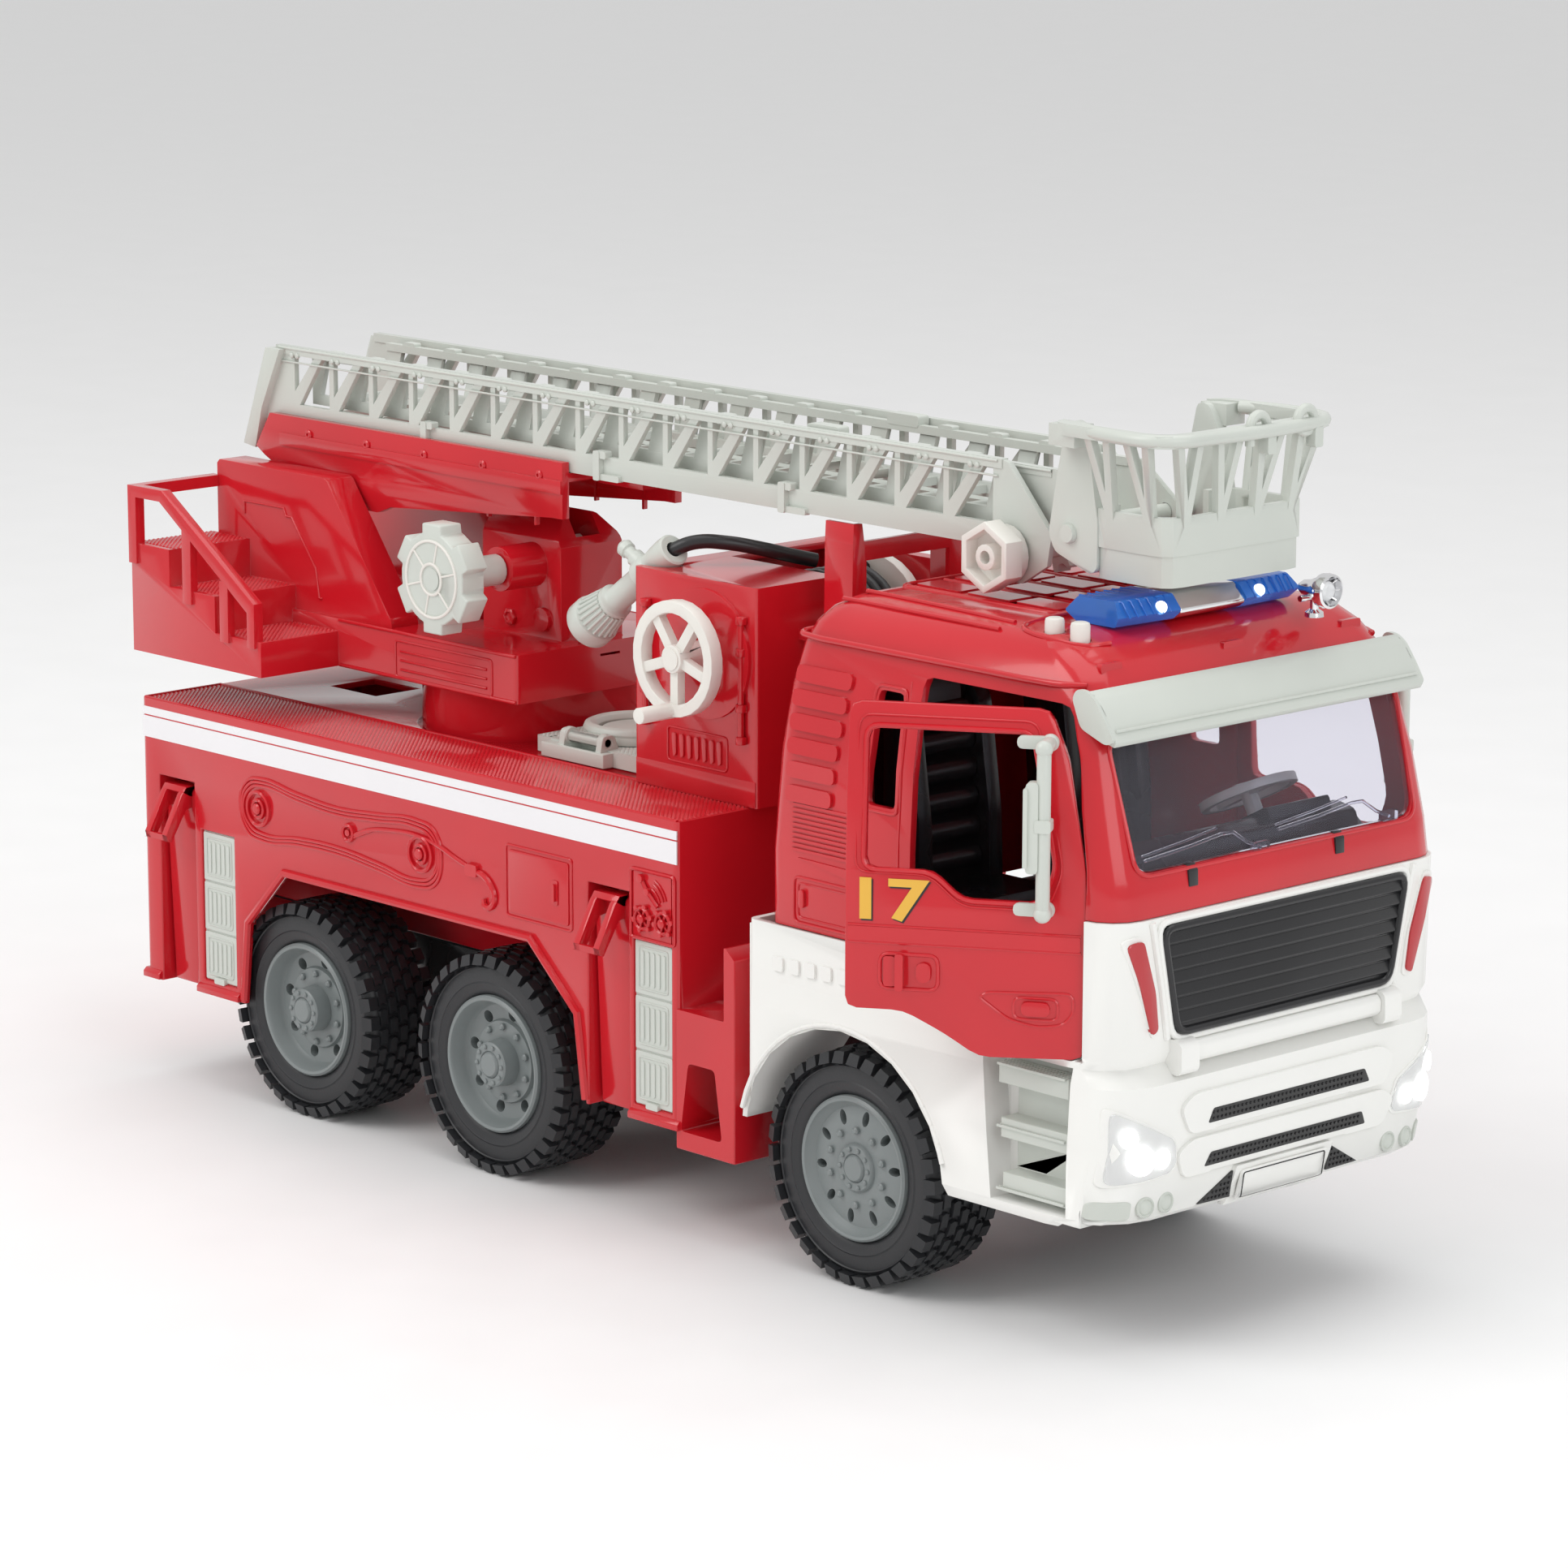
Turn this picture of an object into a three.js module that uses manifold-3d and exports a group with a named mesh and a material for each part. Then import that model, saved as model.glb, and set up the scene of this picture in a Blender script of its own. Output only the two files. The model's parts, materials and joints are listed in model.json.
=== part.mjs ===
// Toy fire engine with a turntable ladder, as a scene graph of separate closed pieces.
// Millimetres, +X towards the cab, +Y to the driver's left, +Z up. The last lines centre it on its own box.
import * as THREE from 'three';
import { mergeVertices } from 'three/addons/utils/BufferGeometryUtils.js';
import Module from 'manifold-3d';

const wasm = await Module();
wasm.setup();

// ---- Driving dimensions ----
const gap = 0.3;
const wall = 2.6;

const tyreRadius = 42.7;
const tyreWidth = 30;
const tyreOuterY = 79.6;
const rimRadius = 26.3;
const axleRadius = 4;
const axleXs = { front: 144.3, middle: -51.5, rear: -164.1 };

const bodyRearX = -260;
const bodyFrontX = 57.8;
const bodyHalf = 83.8;
const bodyBottomZ = 39.7;
const deckZ = 153.9;
const archTopZ = 96;
const recessWidth = 22.5;
const recessDepth = 15;
const recessTopZ = 124;
const recessXs = [-249.5, 8.6];
const shutterWidth = 21;
const shutterXs = [-223, 33.2];
const shutterTopZs = [106, 133];
const shutterBottomZ = 45;

const towerRearX = -4.8;
const towerFrontX = 61.4;
const towerHalf = 48.5;
const towerTopZ = 235;
const reelX = 34.5;
const reelZ = 207.8;
const reelShaftRadius = 4;
const crankRadius = 21.3;
const hoseDiameter = 5.4;
const drumRadius = 18.8;
const drumFrom = -6;
const drumTo = 34;
const flangeRadius = 27.4;

const swingX = -119;
const pedestalRadius = 43;
const trayFrontX = -73.5;
const trayHalf = 46.9;
const trayBottomZ = 172.7;
const trayTopZ = 191.5;
const stairRearX = -262.5;
const stairFrontX = -180.8;
const stairHalf = 85.2;
const treadZs = [215.8, 201, 186.5];
const cheekInnerY = 31.8;
const cheekOuterY = 45;
const cheekTopZ = 245.4;

const liftX = -196;
const liftZ = 240;
const liftPinRadius = 4;
const toothPitch = 6.4;
const knobX = -100.2;
const knobZ = 219.6;
const pinionTeeth = 10;
const knobRadius = 20.4;
const knobFaceY = -66;

const ladderHalf = 26.5;
const ladderBottomZ = 260;
const ladderTopZ = 291;
const ladderRearX = -243;
const ladderFrontX = 162;
const bayCount = 16;
const flyHalf = 20.4;
const flyBottomZ = 268.2;
const flyTopZ = 289;
const flyRearX = -228;
const flyFrontX = 186;
const extendX = 166;
const extendZ = 258.4;
const extendTeeth = 8;

const basketX = 206;
const basketZ = 272;
const basketFrontX = 249;
const basketRearX = 212;
const basketHalf = 35;
const basketFloorZ = 257.2;
const tubTopZ = 281;
const rimFrontX = 255;
const rimHalf = 43.5;
const railZ = 308.5;

const cabRearX = 105;
const cabFrontX = 272.5;
const cabSplitZ = 153.3;
const sideSplitZ = 126.2;
const cabBaseZ = 44.5;
const cabFloorZ = 112;
const archRadius = 51;
const doorRearX = 177;
const doorFrontX = 259;
const doorTopZ = 222.5;
const doorLowZ = 104;
const doorHighZ = 118.5;
const doorHingeX = 257.7;
const doorHingeY = 83;
const doorAjar = 33.5;
const lightRearX = 209.5;
const lightFrontX = 238.5;
const lightHalf = 45.5;
const buttonXs = [219.5, 231.5];
const buttonY = -58.5;
const buttonRadius = 3.4;
const hatchRearX = -73;
const hatchFrontX = -14;
const hatchNearY = -38;
const hatchFarY = 12;
const lidX = -44;
const lidY = -12.5;
const lidRadius = 20.5;
const outriggerLength = 78;

// ---- Colours ----
const paint = (colour, roughness = 0.28, metalness = 0) =>
  new THREE.MeshStandardMaterial({ color: colour, roughness, metalness });
const red = () => paint(0xcf2430);
const white = () => paint(0xf1f1ec);
const pale = () => paint(0xcdd2cb, 0.4);
const ivory = () => paint(0xe9e8e2, 0.4);
const black = () => paint(0x17181b, 0.35);
const rubber = () => paint(0x34353a, 0.8);
const grey = () => paint(0x7c8786, 0.5);
const steel = () => paint(0xb9bec4, 0.3, 1);
const chrome = () => paint(0xdfe3e6, 0.08, 1);
const clear = () => new THREE.MeshStandardMaterial({
  color: 0xc9cde0, roughness: 0.05, transparent: true, opacity: 0.35,
});
const blue = () => new THREE.MeshStandardMaterial({
  color: 0x1f6fd0, roughness: 0.1, transparent: true, opacity: 0.75,
});

// ---- Solid helpers ----
const solid = (geometry) => {
  const bare = geometry.index ? geometry.toNonIndexed() : geometry.clone();
  bare.deleteAttribute('normal');
  bare.deleteAttribute('uv');
  const merged = mergeVertices(bare, 1e-4);
  const index = merged.index.array;
  const triangles = [];
  for (let i = 0; i < index.length; i += 3) {
    const [a, b, c] = [index[i], index[i + 1], index[i + 2]];
    if (a !== b && b !== c && c !== a) triangles.push(a, b, c);
  }
  return new wasm.Manifold(new wasm.Mesh({
    numProp: 3,
    vertProperties: new Float32Array(merged.attributes.position.array),
    triVerts: new Uint32Array(triangles),
  }));
};
const join = (...pieces) => wasm.Manifold.union(pieces.flat());
const cut = (piece, ...tools) => piece.subtract(wasm.Manifold.union(tools.flat()));
const mirrored = (piece) => piece.mirror([0, 1, 0]);
const both = (piece) => [piece, mirrored(piece)];

const box = (x0, x1, y0, y1, z0, z1) => {
  const geometry = new THREE.BoxGeometry(x1 - x0, y1 - y0, z1 - z0);
  return solid(geometry.translate((x0 + x1) / 2, (y0 + y1) / 2, (z0 + z1) / 2));
};
const wound = (points, turn) => {
  const vectors = points.map(([a, b]) => new THREE.Vector2(a, b));
  return Math.sign(THREE.ShapeUtils.area(vectors)) === turn ? vectors : vectors.reverse();
};
const outline = (points) => new THREE.Shape(wound(points, 1));

// A polygon whose corners are rounded to the given radius.
const rounded = (points, radius, steps = 3) => {
  const result = [];
  points.forEach((point, i) => {
    const here = new THREE.Vector2(...point);
    const before = new THREE.Vector2(...points.at(i - 1)).sub(here);
    const after = new THREE.Vector2(...points[(i + 1) % points.length]).sub(here);
    const reach = Math.min(radius, before.length() / 2.1, after.length() / 2.1);
    const from = here.clone().add(before.setLength(reach));
    const to = here.clone().add(after.setLength(reach));
    for (let k = 0; k <= steps; k += 1) {
      const t = k / steps;
      const a = from.clone().lerp(here, t);
      const b = here.clone().lerp(to, t);
      const p = a.lerp(b, t);
      result.push([p.x, p.y]);
    }
  });
  return result;
};
const rectangle = (a0, a1, b0, b1) => [[a0, b0], [a1, b0], [a1, b1], [a0, b1]];

const extruded = (points, depth) =>
  new THREE.ExtrudeGeometry(outline(points), { depth, bevelEnabled: false, curveSegments: 1 });
const pierced = (prism, points, from, to, holes) => {
  const piece = prism(points, from, to);
  return holes.length ? cut(piece, holes.map((hole) => prism(hole, from - 1, to + 1))) : piece;
};
const plainZ = (points, z0, z1) => solid(extruded(points, z1 - z0).translate(0, 0, z0));
const plainY = (points, y0, y1) => solid(extruded(points, y1 - y0).rotateX(Math.PI / 2).translate(0, y1, 0));
const plainX = (points, x0, x1) => {
  const turn = new THREE.Matrix4().makeBasis(
    new THREE.Vector3(0, 1, 0), new THREE.Vector3(0, 0, 1), new THREE.Vector3(1, 0, 0));
  return solid(extruded(points, x1 - x0).applyMatrix4(turn).translate(x0, 0, 0));
};
const prismZ = (points, z0, z1, holes = []) => pierced(plainZ, points, z0, z1, holes);
const prismY = (points, y0, y1, holes = []) => pierced(plainY, points, y0, y1, holes);
const prismX = (points, x0, x1, holes = []) => pierced(plainX, points, x0, x1, holes);

// A turned body about an axis; the profile is [radius, distance along the axis].
const turned = (axis, a, b, profile, sides = 24) => {
  const points = profile.map(([r, t]) => new THREE.Vector2(r, t));
  const closed = profile[0][0] > 0 ? [...points, points[0].clone()] : points;
  const geometry = new THREE.LatheGeometry(closed, sides);
  if (axis === 'z') geometry.rotateX(Math.PI / 2).translate(a, b, 0);
  if (axis === 'y') geometry.translate(a, 0, b);
  if (axis === 'x') geometry.rotateZ(-Math.PI / 2).translate(0, a, b);
  const piece = solid(geometry);
  return piece.volume() < 0 ? solid(flipped(geometry)) : piece;
};
const flipped = (geometry) => {
  const array = geometry.index.array;
  for (let i = 0; i < array.length; i += 3) [array[i], array[i + 1]] = [array[i + 1], array[i]];
  return geometry;
};
const rod = (axis, a, b, radius, from, to, sides = 16) =>
  turned(axis, a, b, [[0, from], [radius, from], [radius, to], [0, to]], sides);

// A body through stacked plan outlines: levels of { z, rear, front, half, rearCorner, frontCorner }.
const lofted = (levels, inset = 0) => {
  const cornerSteps = 4;
  const rings = levels.map((level) => {
    const rear = level.rear + inset;
    const front = level.front - inset;
    const half = level.half - inset;
    const corners = [
      [front, half, Math.max(1, level.frontCorner - inset), 0],
      [rear, half, Math.max(1, level.rearCorner - inset), 1],
      [rear, -half, Math.max(1, level.rearCorner - inset), 2],
      [front, -half, Math.max(1, level.frontCorner - inset), 3],
    ];
    return corners.flatMap(([x, y, r, quarter]) => {
      const cx = x - Math.sign(x - (rear + front) / 2) * r;
      const cy = y - Math.sign(y) * r;
      return Array.from({ length: cornerSteps + 1 }, (_, k) => {
        const angle = (quarter + k / cornerSteps) * Math.PI / 2;
        return [cx + r * Math.cos(angle), cy + r * Math.sin(angle), level.z];
      });
    });
  });
  const count = rings[0].length;
  const index = [];
  for (let level = 0; level + 1 < rings.length; level += 1) {
    for (let i = 0; i < count; i += 1) {
      const a = level * count + i;
      const b = level * count + (i + 1) % count;
      index.push(a, b, b + count, a, b + count, a + count);
    }
  }
  const top = (rings.length - 1) * count;
  for (let i = 1; i + 1 < count; i += 1) index.push(0, i + 1, i, top, top + i, top + i + 1);
  const geometry = new THREE.BufferGeometry();
  geometry.setAttribute('position', new THREE.Float32BufferAttribute(rings.flat(2), 3));
  geometry.setIndex(index);
  return solid(geometry);
};

// Gear outline about a centre; tooth number zero points along the phase angle, in radians.
const gearOutline = (cx, cz, teeth, pitchRadius, phase) => {
  const points = [];
  for (let i = 0; i < teeth; i += 1) {
    const middle = phase + i * 2 * Math.PI / teeth;
    const quarter = Math.PI / teeth / 2;
    const shape = [[-1.25, -1.5], [-0.42, 1.2], [0.42, 1.2], [1.25, -1.5]];
    for (const [side, lift] of shape) {
      const angle = middle + side * quarter;
      const r = pitchRadius + lift;
      points.push([cx + r * Math.cos(angle), cz + r * Math.sin(angle)]);
    }
  }
  return points;
};

// ---- Scene graph ----
const group = (x = 0, y = 0, z = 0) => {
  const result = new THREE.Group();
  result.position.set(x, y, z);
  return result;
};
const add = (parent, name, piece, material) => {
  const { vertProperties, triVerts } = piece.getMesh();
  const geometry = new THREE.BufferGeometry();
  geometry.setAttribute('position', new THREE.Float32BufferAttribute(vertProperties, 3));
  geometry.setIndex(Array.from(triVerts));
  const mesh = new THREE.Mesh(geometry, material);
  mesh.name = name;
  parent.add(mesh);
  return mesh;
};
const truck = group();

// ---- Chassis, axles and wheels ----
const axleZ = tyreRadius;
const railTopZ = 84;
const railBottomZ = 64;
const bearingHalf = 24;
const bearing = (x) => [
  box(x - 9, x + 9, -bearingHalf, bearingHalf, axleZ - 9, railBottomZ + 2),
];
const chassisFrame = cut(
  join(
    both(box(bodyRearX + 6, 246, 17, bearingHalf, railBottomZ, railTopZ)),
    [-240, -108, 20, 84, 200, 240].map((x) => box(x - 4, x + 4, -20, 20, railBottomZ + 4, railTopZ - 2)),
    Object.values(axleXs).flatMap(bearing),
  ),
  Object.values(axleXs).map((x) => rod('y', x, axleZ, axleRadius + gap, -60, 60)),
);
add(truck, 'chassis_frame', chassisFrame, black());

const wheelInnerY = tyreOuterY - tyreWidth;
const tyreProfile = [
  [rimRadius + gap, 1],
  [tyreRadius - 6, 0],
  [tyreRadius, 4],
  [tyreRadius, tyreWidth - 4],
  [tyreRadius - 6, tyreWidth],
  [rimRadius + gap, tyreWidth - 1],
];
const rimProfile = [
  [axleRadius + 0.2, 8],
  [9, 8],
  [9, 19],
  [rimRadius - 3, 19],
  [rimRadius - 3, 2],
  [rimRadius, 2],
  [rimRadius, tyreWidth - 1.5],
  [rimRadius - 4, 23],
  [13, 23],
  [8, 29.4],
  [axleRadius + 0.2, 29.4],
];
const tyreSolid = turned('y', 0, 0, tyreProfile, 26);
const rimSolid = turned('y', 0, 0, rimProfile, 18);
const axleSolid = rod('y', 0, 0, axleRadius, -tyreOuterY + 2, tyreOuterY - 2, 16);
for (const [place, x] of Object.entries(axleXs)) {
  const axle = group(x, 0, axleZ);
  truck.add(axle);
  add(axle, `${place}_axle`, axleSolid, steel());
  for (const [side, sign] of [['left', 1], ['right', -1]]) {
    const place2 = (piece) => (sign > 0 ? piece : mirrored(piece)).translate([0, sign * wheelInnerY, 0]);
    add(axle, `${place}_${side}_tyre`, place2(tyreSolid), rubber());
    add(axle, `${place}_${side}_rim`, place2(rimSolid), grey());
  }
}

// ---- Rear body ----
const archPoints = [
  [-197, bodyBottomZ - 1], [-193, 73], [-170, archTopZ], [-24, archTopZ], [2, 73], [7, bodyBottomZ - 1],
];
const recessBottomZ = bodyBottomZ - 1;
const recess = (x, grow) =>
  box(x - grow, x + recessWidth + grow, bodyHalf - recessDepth - grow, bodyHalf + 1, recessBottomZ, recessTopZ + grow);
const shutterPocket = (i) => box(
  shutterXs[i], shutterXs[i] + shutterWidth, bodyHalf - 1.6, bodyHalf + 1, shutterBottomZ, shutterTopZs[i]);
const stepUnit = cut(
  join(
    box(bodyFrontX - 1, 83, 62, bodyHalf, 33, 85),
    prismY([[83, 33], [87.7, 33], [87.7, 108], [83, 112], [82, 112], [82, 33]], 62, bodyHalf),
  ),
  prismY(rounded([[59, 40], [81, 40], [77, 66], [63, 66]], 2), 60, bodyHalf + 1),
);
const spindleRadius = 22;
const rearBody = cut(
  join(
    cut(
      prismZ(rounded(rectangle(bodyRearX, bodyFrontX, -bodyHalf, bodyHalf), 2.5), bodyBottomZ, deckZ),
      box(bodyRearX + wall, bodyFrontX - wall, -bodyHalf + wall, bodyHalf - wall, bodyBottomZ - 1, deckZ - wall),
    ),
    both(box(bodyRearX + 1, bodyFrontX - 1, 25, 27.5, railTopZ - 18, deckZ - 1)),
    recessXs.flatMap((x) => both(recess(x, 2).intersect(
      box(x - 3, x + recessWidth + 3, 0, bodyHalf, bodyBottomZ, deckZ)))),
    both(stepUnit),
  ),
  both(prismY(archPoints, bodyHalf - wall - 1, bodyHalf + 1)),
  recessXs.flatMap((x) => both(recess(x, 0))),
  shutterXs.flatMap((_, i) => both(shutterPocket(i))),
  turned('z', swingX, 0, [[0, deckZ - 1.6], [pedestalRadius + 2, deckZ - 1.6], [pedestalRadius + 2, 160], [0, 160]], 30),
  rod('z', swingX, 0, spindleRadius + 0.4, deckZ - 8, deckZ + 1, 24),
  box(-226, -198, -14.5, 7.5, deckZ - 6, deckZ + 1),
  box(bodyFrontX - wall - 1, bodyFrontX + 1, -bearingHalf - 0.6, bearingHalf + 0.6, bodyBottomZ - 1, railTopZ + 0.6),
);
add(truck, 'rear_body', rearBody, red());

for (const [i, where] of ['rear', 'front'].entries()) {
  for (const [side, sign] of [['left', 1], ['right', -1]]) {
    const x0 = shutterXs[i] + gap;
    const x1 = shutterXs[i] + shutterWidth - gap;
    const z1 = shutterTopZs[i] - gap;
    const z0 = shutterBottomZ + gap;
    const ribs = Array.from({ length: 5 }, (_, k) => {
      const x = x0 + 2.6 + k * (x1 - x0 - 5.2) / 4;
      return box(x - 0.8, x + 0.8, bodyHalf - 0.6, bodyHalf + 0.5, z0 + 3, z1 - 3);
    });
    const plate = join(box(x0, x1, bodyHalf - 1.3, bodyHalf - 0.1, z0, z1), ribs);
    add(truck, `${where}_${side}_shutter`, sign > 0 ? plate : mirrored(plate), pale());
  }
}

// ---- Outriggers: channel legs on a hinge at the foot of each recess ----
const legHalf = (recessWidth - 4) / 2;
const legHingeZ = 44;
const legHingeY = 75;
const legSolid = cut(
  join(
    prismX(rounded([[-4, -4], [4, -4], [6.5, outriggerLength - 16], [6.5, outriggerLength - 2],
      [1.5, outriggerLength], [-4, outriggerLength - 14]], 1.5, 2), -legHalf, legHalf),
  ),
  box(-legHalf + 2.2, legHalf - 2.2, -6, 3.2, 6, outriggerLength - 17),
  rod('x', 0, 0, 1.6, -legHalf - 1, legHalf + 1, 12),
);
const outriggers = [];
for (const [i, where] of ['rear', 'front'].entries()) {
  for (const [side, sign] of [['left', 1], ['right', -1]]) {
    const pivot = group(recessXs[i] + recessWidth / 2, sign * legHingeY, legHingeZ);
    truck.add(pivot);
    add(pivot, `${where}_${side}_outrigger`, sign > 0 ? legSolid : mirrored(legSolid), red());
    outriggers.push(pivot);
  }
}

// ---- Hatch on the deck ----
const hatchBaseZ = deckZ + gap;
const plateZ = hatchBaseZ + 6;
const lidPivotY = hatchNearY + 0.5;
const lidPivotZ = plateZ + 2.6;
const lugShape = rounded([[lidPivotY - 4.5, plateZ - 3], [lidPivotY + 6, plateZ - 3], [lidPivotY + 3, lidPivotZ + 3],
  [lidPivotY - 3, lidPivotZ + 3]], 2);
const hatchFrame = cut(
  join(
    prismZ(rounded(rectangle(hatchRearX, hatchFrontX, hatchNearY, hatchFarY), 1.5), hatchBaseZ, plateZ),
    box(lidX - 20.5, lidX + 15, lidPivotY - 5.5, lidPivotY + 10, hatchBaseZ, plateZ - 0.6),
    prismX(lugShape, lidX - 12, lidX - 9),
    prismX(lugShape, lidX + 9, lidX + 12),
  ),
  rod('z', lidX, lidY, lidRadius - 3.5, hatchBaseZ + 2, plateZ + 1, 24),
  rod('x', lidPivotY, lidPivotZ, 1.9, lidX - 20, lidX + 20, 12),
  box(lidX - 8.7, lidX + 8.7, lidPivotY - 4, lidPivotY + 4, plateZ - 2.4, plateZ + 8),
);
add(truck, 'hatch_frame', hatchFrame, pale());
const lidZ = plateZ + gap;
const lid = group(lidX, lidPivotY, lidPivotZ);
truck.add(lid);
const hatchLid = join(
  turned('z', lidX, lidY, [[0, lidZ], [lidRadius, lidZ], [lidRadius, lidZ + 3], [lidRadius - 4, lidZ + 3],
    [lidRadius - 4, lidZ + 1.6], [0, lidZ + 1.6]], 28),
  box(lidX - 7, lidX + 7, lidPivotY, lidY - 14, lidZ, lidZ + 2),
  rod('x', lidPivotY, lidPivotZ, 2.3, lidX - 8.4, lidX + 8.4, 12),
  rod('x', lidPivotY, lidPivotZ, 1.6, lidX - 11.6, lidX + 11.6, 12),
).translate([-lidX, -lidPivotY, -lidPivotZ]);
add(lid, 'hatch_lid', hatchLid, pale());

// ---- Hose tower, reel, hose and nozzle ----
const towerBaseZ = deckZ + gap;
const bayRearX = towerRearX + 9;
const nozzleTilt = 36;
const nozzleX = 1.5;
const nozzleY = -38;
const nozzleZ = 238.4;
const alongNozzle = (piece) => piece.rotate([0, 180 - nozzleTilt, 0]).translate([nozzleX, nozzleY, nozzleZ]);
const restX = 74.5;
const restFrontX = 89;
const restTopZ = ladderBottomZ - 0.9;
const ladderRest = join(
  box(towerFrontX - 1, restFrontX, -28, 28, 214, 218),
  prismX([[-28, 216], [28, 216], [27.6, 252], [27.2, restTopZ], [23, restTopZ], [22, 252.5],
    [-22, 252.5], [-23, restTopZ], [-27.2, restTopZ], [-27.6, 252]], restFrontX - 2, restFrontX,
  [[[-20.8, 220], [-20.8, 245.5], [20.8, 245.5], [20.8, 220]]]),
  both(prismX([[25.4, 216], [28, 216], [27.6, 252], [27.2, restTopZ], [25.4, restTopZ]], restX, restFrontX - 1)),
);
const hoseTower = cut(
  join(
    cut(
      prismZ(rounded(rectangle(towerRearX, towerFrontX, -towerHalf, towerHalf), 1.5), towerBaseZ, towerTopZ),
      box(towerRearX + wall, towerFrontX - wall, -towerHalf + wall, towerHalf - wall, towerBaseZ - 1, towerTopZ - wall),
    ),
    box(towerRearX + 1, towerFrontX - 1, drumFrom - 4.6, drumFrom - 2.6, 176, towerTopZ - 1),
    box(towerRearX + 1, towerFrontX - 1, 42.5, 44.5, 176, towerTopZ - 1),
    rod('y', reelX, reelZ, 24, -towerHalf - 1.6, -towerHalf + 1, 32),
    ladderRest,
  ),
  box(bayRearX, towerFrontX + 1, drumFrom - 2.6, 42.5, 178, towerTopZ + 1),
  rod('y', reelX, reelZ, reelShaftRadius + gap, -towerHalf - 4, towerHalf - wall - 0.5, 20),
  alongNozzle(rod('x', 0, 0, 7, -6, 40, 18)),
  box(towerRearX - 1, towerRearX + 7, nozzleY - 7, nozzleY + 7, 233.5, 240),
);
add(truck, 'hose_tower', hoseTower, red());

const nozzle = join(
  turned('x', 0, 0, [[0, 7], [3.4, 7], [3.4, 0], [5.6, 0], [5.6, 9], [6.4, 11], [6.4, 16], [5, 18], [5, 34], [6.6, 35],
    [6.6, 37], [8.8, 48], [9.6, 48.5], [9.6, 55], [7.4, 55], [5.4, 48], [0, 48]], 18),
  turned('x', 0, 0, [[0, 0], [5, 0], [3, 9], [3.4, 11], [3.4, 14.5], [0, 17]], 12).rotate([0, 63, 0]).translate([12, 0, 0]),
);
add(truck, 'nozzle', alongNozzle(nozzle), pale());

const hosePoints = [
  [-1.7, -38, 236], [1.6, -37.9, 238.5], [5.6, -36.5, 241.4], [11, -31.5, 243.8], [18, -23.5, 243.4], [25, -12.5, 240.8],
  [30, -3, 238], [34.5, 6, 235.5],
];
const hoseCurve = new THREE.CatmullRomCurve3(hosePoints.map((p) => new THREE.Vector3(...p)), false, 'centripetal');
const hoseSection = outline(Array.from({ length: 8 }, (_, k) => [
  hoseDiameter / 2 * Math.cos(k * Math.PI / 4), hoseDiameter / 2 * Math.sin(k * Math.PI / 4)]));
add(truck, 'hose_lead', solid(new THREE.ExtrudeGeometry(hoseSection, { steps: 14, extrudePath: hoseCurve })), black());

const reel = group(reelX, 0, reelZ);
truck.add(reel);
const coilOuter = drumRadius + gap + hoseDiameter;
add(reel, 'hose_coil', turned('y', 0, 0, [[drumRadius + gap, drumFrom + gap], [coilOuter, drumFrom + gap],
  [coilOuter, drumTo - gap], [drumRadius + gap, drumTo - gap]], 26), black());
const spokes = Array.from({ length: 5 }, (_, k) =>
  box(0, crankRadius - 3, -64.5, -61, -2, 2).rotate([0, 90 - k * 72, 0]));
const hoseReel = join(
  turned('y', 0, 0, [[0, drumFrom - 2], [coilOuter - 2, drumFrom - 2], [coilOuter - 2, drumFrom], [drumRadius, drumFrom],
    [drumRadius, drumTo], [flangeRadius, drumTo], [flangeRadius, drumTo + 4.5], [0, drumTo + 4.5]], 28),
  rod('y', 0, 0, reelShaftRadius, -66.5, towerHalf - wall - 1, 16),
  turned('y', 0, 0, [[crankRadius - 4.5, -65.5], [crankRadius, -65.5], [crankRadius, -60], [crankRadius - 4.5, -60]], 26),
  rod('y', 0, 0, 5.2, -66, -52, 18),
  spokes,
  rod('y', -2, -crankRadius + 2, 3, -80, -61, 14),
);
add(reel, 'hose_reel', hoseReel, ivory());

// ---- Turntable ----
const turntable = group(swingX, 0, 0);
truck.add(turntable);
const onTurntable = (piece) => piece.translate([-swingX, 0, 0]);
const stairOutline = [
  [stairRearX, trayBottomZ], [stairFrontX, trayBottomZ], [stairFrontX, treadZs[2]], [-209.4, treadZs[2]],
  [-209.4, treadZs[1]], [-238.2, treadZs[1]], [-238.2, treadZs[0]], [stairRearX, treadZs[0]],
];
const stairHollow = [
  [stairRearX + wall, trayBottomZ - 1], [stairFrontX - wall, trayBottomZ - 1], [stairFrontX - wall, treadZs[2] - wall],
  [-209.4 - wall, treadZs[2] - wall], [-209.4 - wall, treadZs[1] - wall], [-238.2 - wall, treadZs[1] - wall],
  [-238.2 - wall, treadZs[0] - wall], [stairRearX + wall, treadZs[0] - wall],
];
const railTop = 239;
const railOuterY = stairHalf + 1.4;
const handrail = join(
  prismY([[stairRearX, railTop - 4.5], [-242, railTop - 4.5], [-187.5, 197.6], [-187.5, 184], [-183, 184],
    [-183, 201.4], [-240.5, railTop], [stairRearX, railTop]], stairHalf - 3, railOuterY),
  box(stairRearX, stairRearX + 5, cheekOuterY - 1, railOuterY, railTop - 4.5, railTop),
  box(stairRearX, stairRearX + 5, stairHalf - 3, railOuterY, 208, railTop - 1),
  box(-228, -222.6, stairHalf - 2, railOuterY, 196, 226),
  box(-204.6, -199.4, stairHalf - 2, railOuterY, 184, 208),
);
const cheek = prismY(rounded([[-258.5, 188], [-150, 188], [-150, 194], [-189.6, cheekTopZ], [-258.5, cheekTopZ]], 1.5, 1),
  cheekInnerY, cheekOuterY);
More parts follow.
